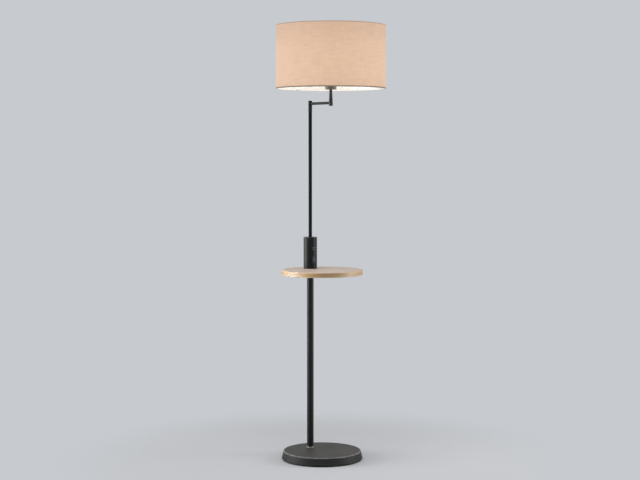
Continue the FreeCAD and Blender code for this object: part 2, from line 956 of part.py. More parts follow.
# ---------------------------------------------------------------- upper pole and swivel
def upper_pole():
    radius = upper_pole_diameter / 2
    bottom = HOUSING_TOP - cap_thickness - boss_depth + boss_lip
    return tube(radius, radius - upper_pole_wall, bottom, POLE_TOP, POLE)


def stop_axis(radius, side):
    """A point on a stop's axis: side 1 is the pole's back, -1 its front."""
    return POLE + FreeCAD.Vector(0, side * radius, STOP_Z)


def swivel_spindle():
    """Turned spindle: its foot fills the pole's end, and its journal carries the sleeve."""
    seat = upper_pole_diameter / 2 - upper_pole_wall - thread_gap
    journal = spindle_diameter / 2
    bore = spindle_bore / 2
    top = STOP_Z + stop_pin_diameter
    groove = BEARING_TOP + push_gap
    spindle = turned(
        [
            (bore, POLE_TOP - spindle_seat),
            (seat - spindle_chamfer, POLE_TOP - spindle_seat),
            (seat, POLE_TOP - spindle_seat + spindle_chamfer),
            (seat, POLE_TOP),
            (journal, POLE_TOP),
            (journal, groove),
            (journal - ring_groove, groove),
            (journal - ring_groove, groove + ring_thickness),
            (journal, groove + ring_thickness),
            (journal, top - spindle_chamfer),
            (journal - spindle_chamfer, top),
            (bore, top),
        ],
        POLE,
    )
    pin_hole = bar(
        stop_pin_diameter / 2, stop_axis(0, 1), stop_axis(journal + overshoot, 1)
    )
    return solid_of(spindle.cut(pin_hole))


def swivel_washer():
    """Slide washer between the pole's end and the sleeve."""
    return tube(
        upper_pole_diameter / 2, spindle_diameter / 2 + running_gap, POLE_TOP, SLEEVE_BOTTOM, POLE
    )


def swivel_ring():
    """Open retaining ring in the spindle's groove, above the sleeve's bearing."""
    bottom = BEARING_TOP + push_gap
    journal = spindle_diameter / 2
    top = bottom + ring_thickness
    ring = tube(journal + ring_proud, journal - ring_groove, bottom, top, POLE)
    opening = block(
        (-ring_opening / 2, ring_opening / 2),
        (pole_setback - spindle_diameter, pole_setback),
        (bottom - overshoot, top + overshoot),
    )
    return solid_of(ring.cut(opening))


def stop_pin():
    """Pin in the spindle's back, which ends the swing against the stop screw."""
    start = stop_axis(spindle_bore / 2 + stop_gap, 1)
    return bar(stop_pin_diameter / 2, start, stop_axis(SLEEVE_INSIDE - stop_gap, 1))


def stop_screw():
    """Screw in the sleeve's front, below the arm, which meets the pin at 155 degrees either way."""
    start = stop_axis(spindle_diameter / 2 + stop_gap, -1)
    return bar(stop_pin_diameter / 2, start, stop_axis(sleeve_diameter / 2 - stop_gap, -1))


def swivel_sleeve():
    """Sleeve that turns on the spindle: bearing below, cable room and the arm's hole above."""
    outside = sleeve_diameter / 2
    bearing = spindle_diameter / 2 + running_gap
    top = SLEEVE_TOP - sleeve_cap_thickness
    sleeve = turned(
        [
            (bearing, SLEEVE_BOTTOM),
            (outside, SLEEVE_BOTTOM, sleeve_edge_radius),
            (outside, top),
            (SLEEVE_INSIDE, top),
            (SLEEVE_INSIDE, BEARING_TOP),
            (bearing, BEARING_TOP),
        ],
        POLE,
    )
    arm_hole = bar(
        arm_diameter / 2 + thread_gap,
        POLE + UP * ARM_Z,
        POLE + UP * ARM_Z - BACK * sleeve_diameter,
    )
    screw_hole = bar(
        stop_pin_diameter / 2 + thread_gap,
        stop_axis(spindle_diameter / 2, -1),
        stop_axis(sleeve_diameter, -1),
    )
    return solid_of(sleeve.cut(arm_hole).cut(screw_hole))


def sleeve_cap():
    """Flat plug that closes the sleeve."""
    under = SLEEVE_TOP - sleeve_cap_thickness
    return turned(
        [
            (0, under - sleeve_cap_plug),
            (SLEEVE_INSIDE - push_gap, under - sleeve_cap_plug),
            (SLEEVE_INSIDE - push_gap, under),
            (sleeve_diameter / 2, under),
            (sleeve_diameter / 2, SLEEVE_TOP, sleeve_edge_radius),
            (0, SLEEVE_TOP),
        ],
        POLE,
    )


# ---------------------------------------------------------------- arm and stem
def arm_start():
    return POLE + UP * ARM_Z - BACK * (SLEEVE_INSIDE + side_gap)


def arm_end():
    return SHADE + UP * ARM_Z + BACK * (stem_bore / 2 + arm_wall)


def arm_tube():
    outer = bar(arm_diameter / 2, arm_start(), arm_end())
    inner = bar(
        arm_diameter / 2 - arm_wall, arm_start() + BACK * overshoot, arm_end() - BACK * overshoot
    )
    return solid_of(outer.cut(inner))


def stem():
    """Turned stem: round end, barrel where the arm enters, long taper, neck under the holder."""
    wide = stem_diameter / 2
    neck = stem_neck_diameter / 2
    bore = stem_bore / 2
    rod_room = stem_rod_diameter / 2 + thread_gap
    rod_bottom = HOLDER_Z - stem_rod_length / 2
    bore_bottom = ARM_Z - arm_diameter / 2
    piece = turned(
        [
            (0, STEM_BOTTOM),
            (wide, STEM_BOTTOM, stem_end_radius),
            (wide, STEM_BOTTOM + stem_barrel_length, stem_barrel_curve),
            (neck, HOLDER_Z - stem_neck_length, stem_neck_curve),
            (neck, HOLDER_Z),
            (rod_room, HOLDER_Z),
            (rod_room, rod_bottom),
            (bore, rod_bottom),
            (bore, bore_bottom),
            (0, bore_bottom),
        ],
        SHADE,
    )
    arm_hole = bar(
        arm_diameter / 2 + thread_gap, arm_end(), SHADE + UP * ARM_Z + BACK * stem_diameter
    )
    lead_hole = bar(arm_diameter / 2 - arm_wall, SHADE + UP * ARM_Z, arm_end())
    return solid_of(piece.cut(arm_hole).cut(lead_hole))


def stem_rod():
    half = stem_rod_length / 2
    return threaded_rod(
        stem_rod_diameter / 2, stem_rod_bore, HOLDER_Z - half, HOLDER_Z + half, SHADE
    )


def stem_nut():
    bottom = HOLDER_Z + cup_floor
    bore = stem_rod_diameter / 2 + thread_gap
    return hex_nut(stem_nut_across_flats, bore, bottom, stem_nut_height, SHADE)


# ---------------------------------------------------------------- lampholder
def holder_cup():
    outside = cup_diameter / 2
    hole = stem_rod_diameter / 2 + push_gap
    return turned(
        [
            (hole, HOLDER_Z),
            (outside, HOLDER_Z, 2.0),
            (outside, HOLDER_Z + cup_height),
            (outside - cup_wall, HOLDER_Z + cup_height),
            (outside - cup_wall, HOLDER_Z + cup_floor, 1.0),
            (hole, HOLDER_Z + cup_floor),
        ],
        SHADE,
    )


def holder_body():
    """Ceramic body: spigot in the cup, shoulder under the shade's hub, threaded well."""
    spigot = cup_diameter / 2 - cup_wall - push_gap
    shoulder = holder_shoulder_diameter / 2
    thread = holder_thread_diameter / 2
    well = holder_well_diameter / 2
    cup_top = HOLDER_Z + cup_height
    return turned(
        [
            (0, cup_top - holder_spigot),
            (spigot, cup_top - holder_spigot),
            (spigot, cup_top),
            (shoulder, cup_top, 0.5),
            (shoulder, HUB_Z, 0.5),
            (thread, HUB_Z),
            (thread, HOLDER_Z + holder_top, 1.0),
            (well, HOLDER_Z + holder_top),
            (well, HOLDER_Z + holder_well),
            (0, HOLDER_Z + holder_well),
        ],
        SHADE,
    )


def holder_shell():
    """Threaded metal shell in the holder's well."""
    outside = holder_well_diameter / 2 - thread_gap
    bottom = HOLDER_Z + holder_well
    return tube(
        outside, outside - holder_shell_thickness, bottom, bottom + holder_shell_height, SHADE
    )


def holder_contact():
    """Spring tongue that meets the bulb's tip."""
    floor = HOLDER_Z + holder_well
    strip, half = contact_strip, contact_width / 2
    corners = [
        (-4 * half, floor),
        (-2 * half, floor, 2 * strip),
        (strip - half, BULB_TIP - strip, strip),
        (half, BULB_TIP - strip),
        (half, BULB_TIP),
        (-half + strip / 2, BULB_TIP, 2 * strip),
        (-2 * half - strip / 2, floor + strip, strip),
        (-4 * half, floor + strip),
    ]
    return prism(corners, upright, SHADE - BACK * half, BACK * contact_width)


def shade_ring():
    """Threaded ring that clamps the shade's hub, with grip notches round it."""
    bottom = HUB_Z + hub_thickness
    thread = holder_thread_diameter / 2 + thread_gap
    outside = shade_ring_diameter / 2
    ring = turned(
        [
            (thread, bottom),
            (outside, bottom, ring_edge_radius),
            (outside, bottom + ring_flange, ring_edge_radius),
            (outside - ring_collar_inset, bottom + ring_flange),
            (outside - ring_collar_inset, bottom + shade_ring_height, ring_edge_radius),
            (thread, bottom + shade_ring_height),
        ]
    )
    for i in range(grip_notches):
        turn = math.tau * i / grip_notches
        place = FreeCAD.Vector(outside * math.cos(turn), outside * math.sin(turn), 0)
        top = bottom + shade_ring_height
        ring = ring.cut(rod(grip_notch_radius, bottom - overshoot, top, place))
    return solid_of(ring).translate(SHADE)


# ---------------------------------------------------------------- shade
def wire_ring(z):
    return Part.makeTorus(WIRE_RADIUS, frame_wire / 2, SHADE + UP * z, UP)


def ring_inset():
    """How far a frame ring's centre lies inside the shade's edge, above or below it."""
    return cover_thickness + side_gap + frame_wire / 2


def frame_directions():
    """The level direction of each frame arm, outwards."""
    angles = [math.radians(first_arm + i * 360 / frame_arms) for i in range(frame_arms)]
    return [FreeCAD.Vector(math.cos(angle), math.sin(angle), 0) for angle in angles]


def frame_arm_ends(out):
    """Where an arm's round wire starts, clear of the clamping ring, and where it ends."""
    start = SHADE + out * (shade_ring_diameter / 2 + knee_gap) + UP * (HUB_Z + hub_thickness / 2)
    end = SHADE + out * WIRE_RADIUS + UP * (SHADE_BOTTOM + ring_inset())
    return start, end


def shade_frame():
    """Welded frame: hub on the holder's shoulder, arms out to the bottom ring."""
    inside = holder_thread_diameter / 2 + push_gap
    frame = tube(inside + hub_width, inside, HUB_Z, HUB_Z + hub_thickness, SHADE)
    for out in frame_directions():
        start, end = frame_arm_ends(out)
        lug_start = SHADE + out * (inside + hub_width / 2) + UP * (HUB_Z + hub_thickness / 2)
        lug = bar(hub_thickness / 2, lug_start, start)
        knee = Part.makeSphere(frame_wire / 2, start)
        frame = frame.fuse(lug).fuse(bar(frame_wire / 2, start, end)).fuse(knee)
    return solid_of(frame.fuse(wire_ring(SHADE_BOTTOM + ring_inset())))


def shade_top_ring():
    return wire_ring(lamp_height - ring_inset())


def shade_liner():
    """Film that the cover is glued to, from the middle of one ring to the middle of the other."""
    inside = LINER_RADIUS - liner_thickness
    return tube(
        LINER_RADIUS, inside, SHADE_BOTTOM + ring_inset(), lamp_height - ring_inset(), SHADE
    )


def shade_cover():
    """Woven cover, wrapped round the ring at each edge, tucked in over it and slit for the arms."""
    wrap = 2 * ring_inset()
    lip_inside = WIRE_RADIUS - ring_inset()
    lip_outside = lip_inside + cover_thickness
    tuck = LINER_RADIUS - liner_thickness - push_gap
    low, high = SHADE_BOTTOM, lamp_height
    cavity_low, cavity_high = low + cover_thickness, high - cover_thickness
    wrap_inside = wrap - cover_thickness
    bend = fold_radius - cover_thickness
    cover = turned(
        [
            (SHADE_RADIUS, low, fold_radius),
            (SHADE_RADIUS, high, fold_radius),
            (lip_inside, high, fold_radius),
            (lip_inside, high - wrap, fold_radius),
            (tuck, high - wrap),
            (tuck, high - wrap_inside),
            (lip_outside, high - wrap_inside, bend),
            (lip_outside, cavity_high, bend),
            (LINER_RADIUS, cavity_high, bend),
            (LINER_RADIUS, cavity_low, bend),
            (lip_outside, cavity_low, bend),
            (lip_outside, low + wrap_inside, bend),
            (tuck, low + wrap_inside),
            (tuck, low + wrap),
            (lip_inside, low + wrap, fold_radius),
            (lip_inside, low, fold_radius),
        ],
        SHADE,
    )
    half = frame_wire / 2 + side_gap
    for out in frame_directions():
        slit = block(
            (lip_inside - overshoot, tuck), (-half, half), (low + ring_inset(), low + wrap + overshoot)
        )
        slit.rotate(ORIGIN, UP, math.degrees(math.atan2(out.y, out.x)))
        cover = cover.cut(slit.translate(SHADE))
        cover = cover.cut(bar(half, *frame_arm_ends(out)))
    return solid_of(cover)


# ---------------------------------------------------------------- bulb
def globe_edge():
    """Radius and height of the circle where the globe meets the bulb's body."""
    angle = math.radians(bulb_skirt_latitude)
    radius = bulb_diameter / 2
    return radius * math.cos(angle), BULB_CENTRE + radius * math.sin(angle)


def bulb_globe():
    """Thin globe, open below where the body closes it."""
    radius = bulb_diameter / 2
    centre = SHADE + UP * BULB_CENTRE
    globe = Part.makeSphere(radius, centre).cut(Part.makeSphere(radius - bulb_glass, centre))
    return solid_of(globe.cut(rod(radius, BULB_TIP, globe_edge()[1], SHADE)))


def bulb_body():
    """White plastic body between the screw cap and the globe, with a flared side."""
    edge_radius, edge_z = globe_edge()
    neck = bulb_cap_diameter / 2
    bottom = BULB_TIP + bulb_tip_height + bulb_cap_height
    flare = (edge_radius + neck) / 2
    return turned(
        [
            (0, bottom),
            (neck, bottom),
            (neck + bulb_neck_flare, bottom + bulb_neck_rise, bulb_neck_curve),
            (flare, (bottom + edge_z) / 2 + bulb_flare_rise, bulb_flare_curve),
            (edge_radius, edge_z),
            (0, edge_z),
        ],
        SHADE,
    )


def bulb_cap():
    """Screw cap at its thread's outer size, drawn in to its insulator below."""
    radius = bulb_cap_diameter / 2
    bottom = BULB_TIP + bulb_tip_height
    return turned(
        [
            (0, bottom),
            (radius - bulb_cap_draw, bottom),
            (radius, bottom + bulb_cap_draw),
            (radius, bottom + bulb_cap_height),
            (0, bottom + bulb_cap_height),
        ],
        SHADE,
    )


def bulb_tip():
    """Insulator cone with the round centre contact."""
    radius = bulb_contact_diameter / 2
    wide = bulb_cap_diameter / 2 - bulb_cap_draw
    top = BULB_TIP + bulb_tip_height
    return turned(
        [
            (0, BULB_TIP),
            (radius, BULB_TIP, contact_strip),
            (radius, BULB_TIP + bulb_contact_height),
            (wide, top),
            (0, top),
        ],
        SHADE,
    )


# ---------------------------------------------------------------- assembly
def pieces():
    """Every piece, by name."""
    contacts = {f"usb_contact_{i + 1}": usb_contact(x) for i, x in enumerate(usb_contact_places)}
    return contacts | {
        "foot_pad": foot_pad(),
        "foot_weight": foot_weight(),
        "foot_cover": foot_cover(),
        "cable_bush": cable_bush(),
        "foot_washer": foot_washer(),
        "foot_nut": foot_nut(),
        "foot_rod": foot_rod(),
        "pole_collar": pole_collar(),
        "lower_pole": lower_pole(),
        "lower_plug": pole_plug(FOOT_TOP),
        "upper_plug": pole_plug(TABLE_UNDER - plug_length),
        "table_rod": table_rod(),
        "table_board": table_board(),
        "table_edge": table_edge(),
        "housing_floor": housing_floor(),
        "housing_nut": housing_nut(),
        "housing_shell": housing_shell(),
        "housing_screw": housing_screw(),
        "housing_cap": housing_cap(),
        "pole_grub": pole_grub(),
        "switch_body": switch_body(),
        "switch_rocker": switch_rocker(),
        "switch_blade_low": switch_blade(-1),
        "switch_blade_high": switch_blade(1),
        "usb_plate": usb_plate(),
        "usb_shell": usb_shell(),
        "usb_tongue": usb_tongue(),
        "usb_board": usb_board(),
        "usb_transformer": usb_transformer(),
        "usb_capacitor": usb_capacitor(),
        "terminal_block": terminal_block(),
        "upper_pole": upper_pole(),
        "swivel_spindle": swivel_spindle(),
        "swivel_washer": swivel_washer(),
        "swivel_ring": swivel_ring(),
        "stop_pin": stop_pin(),
        "stop_screw": stop_screw(),
        "swivel_sleeve": swivel_sleeve(),
        "sleeve_cap": sleeve_cap(),
        "arm_tube": arm_tube(),
        "stem": stem(),
        "stem_rod": stem_rod(),
        "stem_nut": stem_nut(),
        "holder_cup": holder_cup(),
        "holder_body": holder_body(),
        "holder_shell": holder_shell(),
        "holder_contact": holder_contact(),
        "shade_ring": shade_ring(),
        "shade_frame": shade_frame(),
        "shade_top_ring": shade_top_ring(),
        "shade_liner": shade_liner(),
        "shade_cover": shade_cover(),
        "bulb_globe": bulb_globe(),
        "bulb_body": bulb_body(),
        "bulb_cap": bulb_cap(),
        "bulb_tip": bulb_tip(),
    }


def main():
    os.makedirs("parts", exist_ok=True)
    for name, shape in pieces().items():
        shape.exportStep(f"parts/{name}.step")
        print(f"{name}: {len(shape.Solids)} solid, {shape.Volume / 1000:.2f} cm3, valid {shape.isValid()}")


main()
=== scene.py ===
"""Looks of a floor lamp with a small round table, a fabric shade on a swinging arm and a USB port.

Metres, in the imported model's own frame: +Z is up, the switch and the USB port look along -Y, the
foot and the table are round the Z axis, and the pole and the shade each have an axis of their own.
"""

import json
import math

import bmesh
import bpy
from bpy.props import FloatProperty, FloatVectorProperty, IntProperty, PointerProperty
from bpy.types import Operator, Panel, PropertyGroup
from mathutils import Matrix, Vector, noise

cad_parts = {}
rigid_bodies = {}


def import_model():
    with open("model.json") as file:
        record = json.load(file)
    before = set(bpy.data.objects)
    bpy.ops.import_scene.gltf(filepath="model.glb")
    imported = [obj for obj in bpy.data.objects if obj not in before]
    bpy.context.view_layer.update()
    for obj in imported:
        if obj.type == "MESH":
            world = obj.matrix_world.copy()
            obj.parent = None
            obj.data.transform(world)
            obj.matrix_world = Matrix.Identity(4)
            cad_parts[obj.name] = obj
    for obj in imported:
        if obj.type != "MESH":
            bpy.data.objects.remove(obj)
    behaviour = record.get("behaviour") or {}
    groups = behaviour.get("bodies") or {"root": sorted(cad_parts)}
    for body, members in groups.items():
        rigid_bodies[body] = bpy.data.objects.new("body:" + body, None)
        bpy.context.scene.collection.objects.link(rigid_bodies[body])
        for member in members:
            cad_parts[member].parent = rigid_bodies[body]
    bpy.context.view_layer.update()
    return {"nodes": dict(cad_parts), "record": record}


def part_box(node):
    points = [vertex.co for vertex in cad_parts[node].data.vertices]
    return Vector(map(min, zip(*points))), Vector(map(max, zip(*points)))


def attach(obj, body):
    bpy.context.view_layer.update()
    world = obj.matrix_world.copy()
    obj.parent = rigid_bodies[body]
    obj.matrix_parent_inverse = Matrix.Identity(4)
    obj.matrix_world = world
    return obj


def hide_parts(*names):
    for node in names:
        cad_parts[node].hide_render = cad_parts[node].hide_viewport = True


bl_info = {
    "name": "Floor lamp with table",
    "version": (1, 0, 0),
    "blender": (4, 5, 0),
    "location": "3D View > Sidebar > Floor lamp",
    "description": "Finishes, shade cover and studio for a floor lamp with a small round table",
    "category": "Object",
}

# ---------------------------------------------------------------- frame
for leftover in list(bpy.data.objects):
    bpy.data.objects.remove(leftover)
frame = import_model()
SLOT_OF = {row["node"]: row["material_slot"] for row in frame["record"]["subparts"]}


def middle(node):
    """The middle of a CAD node's box."""
    low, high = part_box(node)
    return (low + high) / 2


CENTRE = Vector((0, 0, 0))  # the foot and the table are round it
SHADE_LOW, SHADE_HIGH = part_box("shade_cover")
SHADE = middle("shade_cover")
SHADE_RADIUS = (SHADE_HIGH.x - SHADE_LOW.x) / 2
POLE = middle("lower_pole")
FOOT_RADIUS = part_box("foot_cover")[1].x
FOOT_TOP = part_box("foot_cover")[1].z
TABLE_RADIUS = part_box("table_edge")[1].x
TABLE_MIDDLE = middle("table_edge").z
TABLE_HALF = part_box("table_edge")[1].z - TABLE_MIDDLE
HOUSING_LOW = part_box("housing_shell")[0]
HOUSING_RADIUS = POLE.x - HOUSING_LOW.x
HOUSING_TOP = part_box("housing_cap")[1].z
WIRE_RADIUS = (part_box("shade_top_ring")[1].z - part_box("shade_top_ring")[0].z) / 2
RING_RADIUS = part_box("shade_top_ring")[1].x - WIRE_RADIUS
RING_INSET = SHADE_HIGH.z - middle("shade_top_ring").z
LINER_THICKNESS = 0.0004
LINER_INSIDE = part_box("shade_liner")[1].x - LINER_THICKNESS


def srgb(red, green, blue):
    """A screen colour, 0 to 255, as the linear colour that shaders take."""
    return tuple(
        value / 12.92 if value <= 0.04045 else ((value + 0.055) / 1.055) ** 2.4
        for value in (red / 255, green / 255, blue / 255)
    )


BLACK = (0.0, 0.0, 0.0)
# colour of dust and of a painted sheen on a top face
DUST_AND_SHEEN = srgb(132, 129, 124)
# colour of polished edges and of painted highlights on edges
POLISH_AND_HIGHLIGHT = srgb(152, 152, 153)
PALE_RIM_OAK = srgb(238, 219, 189)
LIT_CLOTH = srgb(247, 241, 226)


def colour_property(name, description, default):
    """A colour that a user may change."""
    return FloatVectorProperty(
        name=name, description=description, subtype="COLOR", min=0, max=1, default=default
    )


# ---------------------------------------------------------------- settings
class CoverSettings(PropertyGroup):
    """The woven cover of the shade."""

    cloth: colour_property("Cloth", "Colour of the yarn in plain light", srgb(98, 87, 81))
    glow: colour_property("Glow", "Light that comes through the cloth", srgb(228, 191, 160))
    pitch: FloatProperty(
        name="Yarn pitch", description="Distance from yarn to yarn", unit="LENGTH", default=0.00095
    )
    thickness: FloatProperty(
        name="Thickness", description="Thickness of the cloth", unit="LENGTH", default=0.0006
    )
    overlap: FloatProperty(
        name="Overlap", description="Width of the glued seam", unit="LENGTH", default=0.014
    )
    seam: FloatProperty(
        name="Seam", description="Where the seam stands, from +X", subtype="ANGLE", default=math.radians(62)
    )
    segments: IntProperty(name="Segments", description="Divisions round the shade", default=240)


class LightSettings(PropertyGroup):
    """The lit bulb and the inside of the shade."""

    bulb: colour_property("Bulb", "Colour of the lit globe", (1.0, 0.93, 0.80))
    bulb_strength: FloatProperty(name="Bulb strength", description="Brightness of the globe", default=1.05)
    film: colour_property("Film", "Light from the shade's white inside", (1.0, 0.955, 0.87))
    film_strength: FloatProperty(
        name="Film strength", description="Brightness of the shade's inside", default=0.27
    )


class FinishSettings(PropertyGroup):
    """Colours of the metal, plastic and timber."""

    coat: colour_property("Powder coat", "Colour of the coated metal", srgb(21, 21, 22))
    # lighter than the coat on the other parts: painted light on the foot
    foot: colour_property("Foot", "Colour of the foot's coat, which looks lighter", srgb(40, 39, 38))
    # lighter than the coat: painted light from the lit shade above
    cup: colour_property("Cup", "Colour of the cup under the bulb", srgb(98, 88, 82))
    grain_size: FloatProperty(
        name="Coat texture", description="Size of the powder coat's texture", unit="LENGTH", default=0.0006
    )
    oak: colour_property("Oak", "Colour of the table's top", srgb(228, 207, 191))
    oak_dark: colour_property("Dark grain", "Colour of the grain's dark lines", srgb(186, 159, 137))
    edging: colour_property("Edging", "Colour of the table's edging", srgb(194, 158, 105))
    edging_dark: colour_property("Edging grain", "Dark lines in the edging", srgb(135, 95, 53))


class StudioSettings(PropertyGroup):
    """Floor, backdrop and lights."""

    floor: colour_property("Floor", "Colour of the floor", srgb(222, 224, 228))
    backdrop: colour_property("Backdrop", "Colour behind the lamp", srgb(199, 202, 206))
    ambient: FloatProperty(name="Ambient", description="Light from all round", default=0.36)
    left: FloatProperty(name="Left", description="Power of the left softbox", unit="POWER", default=10.0)
    right: FloatProperty(name="Right", description="Power of the right softbox", unit="POWER", default=9.0)
    top: FloatProperty(name="Top", description="Power of the light above", unit="POWER", default=26.0)


class LampSettings(PropertyGroup):
    """Everything that a user would change."""

    cover: PointerProperty(type=CoverSettings)
    light: PointerProperty(type=LightSettings)
    finish: PointerProperty(type=FinishSettings)
    studio: PointerProperty(type=StudioSettings)


# ---------------------------------------------------------------- shader maths
class Signal:
    """A node's output. Python's operators on it add Math nodes."""

    def __init__(self, shader, socket):
        self.shader = shader
        self.socket = socket

    def __add__(self, other):
        return self.shader.maths("ADD", self, other)

    def __radd__(self, other):
        return self.shader.maths("ADD", other, self)

    def __sub__(self, other):
        return self.shader.maths("SUBTRACT", self, other)

    def __rsub__(self, other):
        return self.shader.maths("SUBTRACT", other, self)

    def __mul__(self, other):
        return self.shader.maths("MULTIPLY", self, other)

    def __rmul__(self, other):
        return self.shader.maths("MULTIPLY", other, self)

    def __truediv__(self, other):
        return self.shader.maths("DIVIDE", self, other)

    def __rtruediv__(self, other):
        return self.shader.maths("DIVIDE", other, self)


class Shader:
    """A node tree being built."""

    def __init__(self, owner):
        owner.use_nodes = True
        self.tree = owner.node_tree
        self.tree.nodes.clear()

    def node(self, kind, settings=None, inputs=None, output=0):
        """Adds a node: its settings first, with a ramp's stops among them, then its sockets."""
        node = self.tree.nodes.new(kind)
        for name, value in (settings or {}).items():
            if name != "stops":
                setattr(node, name, value)
                continue
            elements = node.color_ramp.elements
            while len(elements) < len(value):
                elements.new(1.0)
            for element, (place, colour) in zip(elements, value):
                element.position = place
                element.color = (*colour, 1.0)
        for name, value in (inputs or {}).items():
            if isinstance(value, Signal):
                self.tree.links.new(value.socket, node.inputs[name])
            elif hasattr(value, "__len__") and len(value) == 3 and node.inputs[name].type == "RGBA":
                node.inputs[name].default_value = (*value, 1.0)
            else:
                node.inputs[name].default_value = value
        return Signal(self, node.outputs[output])

    def maths(self, operation, *values):
        return self.node("ShaderNodeMath", {"operation": operation}, dict(enumerate(values)))

    def place(self):
        """The point on the piece, in the lamp's own frame."""
        return self.node("ShaderNodeTexCoord", output="Object")

    def parts(self, vector):
        """A vector's x, y and z."""
        split = self.node("ShaderNodeSeparateXYZ", inputs={0: vector}).socket.node
        return [Signal(self, socket) for socket in split.outputs]

    def joined(self, x, y, z=0.0):
        return self.node("ShaderNodeCombineXYZ", inputs={0: x, 1: y, 2: z})

    def cloud(self, vector, scale, detail=2.0, roughness=0.5):
        inputs = {"Vector": vector, "Scale": scale, "Detail": detail, "Roughness": roughness}
        return self.node("ShaderNodeTexNoise", inputs=inputs)

    def cells(self, vector, scale):
        return self.node("ShaderNodeTexVoronoi", inputs={"Vector": vector, "Scale": scale})

    def ease(self, value, low, high, start=0.0, end=1.0):
        """From start at low to end at high, softly, and level outside them."""
        inputs = {0: value, 1: low, 2: high, 3: start, 4: end}
        return self.node("ShaderNodeMapRange", {"interpolation_type": "SMOOTHSTEP"}, inputs)

    def blend(self, factor, first, second):
        """From the first colour at 0 to the second at 1."""
        inputs = {0: factor, 6: first, 7: second}
        return self.node("ShaderNodeMix", {"data_type": "RGBA"}, inputs, output=2)

    def ramp(self, value, *stops):
        return self.node("ShaderNodeValToRGB", {"stops": stops}, {0: value})

    def bump(self, height, distance, strength):
        inputs = {"Height": height, "Distance": distance, "Strength": strength}
        return self.node("ShaderNodeBump", inputs=inputs)

    def surface(self, **sockets):
        """Ends a material in a Principled BSDF, whose socket names are given with underscores."""
        inputs = {name.replace("_", " "): value for name, value in sockets.items()}
        self.end(self.node("ShaderNodeBsdfPrincipled", inputs=inputs))

    def end(self, shader, kind="ShaderNodeOutputMaterial"):
        """Links a shader to the output."""
        output = self.tree.nodes.new(kind)
        self.tree.links.new(shader.socket, output.inputs["Surface"])


def material(name):
    """A new material and its node tree."""
    made = bpy.data.materials.new(name)
    return made, Shader(made)


# ---------------------------------------------------------------- finishes
def round_an_axis(s, axis, radius=1.0):
    """How far round an axis a point is from its front, at a radius, how high, and how far out."""
    x, y, z = s.parts(s.place())
    x, y = x - axis.x, y - axis.y
    out = s.maths("SQRT", x * x + y * y)
    return s.maths("ARCTAN2", x, 0 - y) * radius, z, out


def powder_coat(name, settings, edges=None, film=None, gloss=0.19, rough=0.36, colour=None):
    """Fine-textured powder coat. edges(s) gives where the edges are lighter: polish from handling, and a
    painted highlight on the foot's rim and the collar's lip. film(s) gives where dust and a painted sheen
    lie."""
    made, s = material(name)
    place = s.place()
    texture = s.cloud(place, 1 / settings.grain_size, detail=2.0)
    peel = s.cloud(place, 0.3 / settings.grain_size, detail=1.0)
    drift = s.cloud(place, 11.0, detail=4.0, roughness=0.6)
    dust = s.ease(s.cloud(place, 520.0, detail=3.0), 0.7, 0.8) * s.ease(drift, 0.45, 0.7)
    base = Vector(colour or settings.coat)
    colour = s.blend(drift, tuple(base * 0.75), tuple(base * 1.3))
    colour = s.blend(dust * 0.25, colour, tuple(base * 3))
    rough = rough + 0.1 * drift + 0.1 * texture
    # Dust and a painted sheen, lighter on the foot's level top
    if film:
        settled_dust_and_sheen = film(s) * s.ease(drift, 0.3, 0.7, 0.6, 1.0)
        colour = s.blend(settled_dust_and_sheen * 0.3, colour, DUST_AND_SHEEN)
        rough = rough + 0.04 * settled_dust_and_sheen
    # Lighter edges: polish from handling on the housing, a painted highlight on the foot's rim and the
    # collar's lip
    if edges:
        polish_and_highlight = edges(s)
        colour = s.blend(polish_and_highlight * 0.85, colour, POLISH_AND_HIGHLIGHT)
        rough = rough - 0.16 * polish_and_highlight
    s.surface(
        Base_Color=colour,
        Roughness=rough,
        Specular_IOR_Level=gloss,
        Normal=s.bump(texture * 0.6 + peel * 0.4, settings.grain_size * 0.16, 0.4),
    )
    return made


def foot_top_dust_and_sheen(s):
    """Dust and a painted sheen on the foot's level top."""
    _, _, z = s.parts(s.place())
    return s.ease(z, FOOT_TOP - 0.0012, FOOT_TOP - 0.0003)


def foot_rim_highlight(s):
    """Painted highlight along the foot's rim, in patches."""
    _, z, out = round_an_axis(s, CENTRE)
    patches = s.ease(s.cloud(s.place(), 60.0, detail=5.0, roughness=0.7), 0.35, 0.65, 0.4, 1.0)
    outer = s.ease(out, FOOT_RADIUS - 0.0105, FOOT_RADIUS - 0.0075)
    upper = s.ease(z, FOOT_TOP - 0.004, FOOT_TOP - 0.0015)
    return outer * upper * patches


def housing_edges(s):
    """The housing's lower edge and the rim of its cap."""
    _, z, out = round_an_axis(s, POLE)
    patches = s.ease(s.cloud(s.place(), 90.0, detail=5.0, roughness=0.7), 0.4, 0.65, 0.2, 0.8)
    rim = s.ease(out, HOUSING_RADIUS - 0.0014, HOUSING_RADIUS - 0.0006)
    ends = s.maths(
        "MAXIMUM",
        s.ease(z, HOUSING_TOP - 0.0016, HOUSING_TOP - 0.0006),
        s.ease(z, HOUSING_LOW.z + 0.0004, HOUSING_LOW.z + 0.0012, 1.0, 0.0),
    )
    return rim * ends * patches


def collar_lip_highlight(s):
    """Painted highlight on the lip of the pole's collar."""
    _, _, z = s.parts(s.place())
    above_foot = s.ease(z, FOOT_TOP + 0.0002, FOOT_TOP + 0.0012)
    return above_foot * (1 - s.ease(z, FOOT_TOP + 0.002, FOOT_TOP + 0.003))


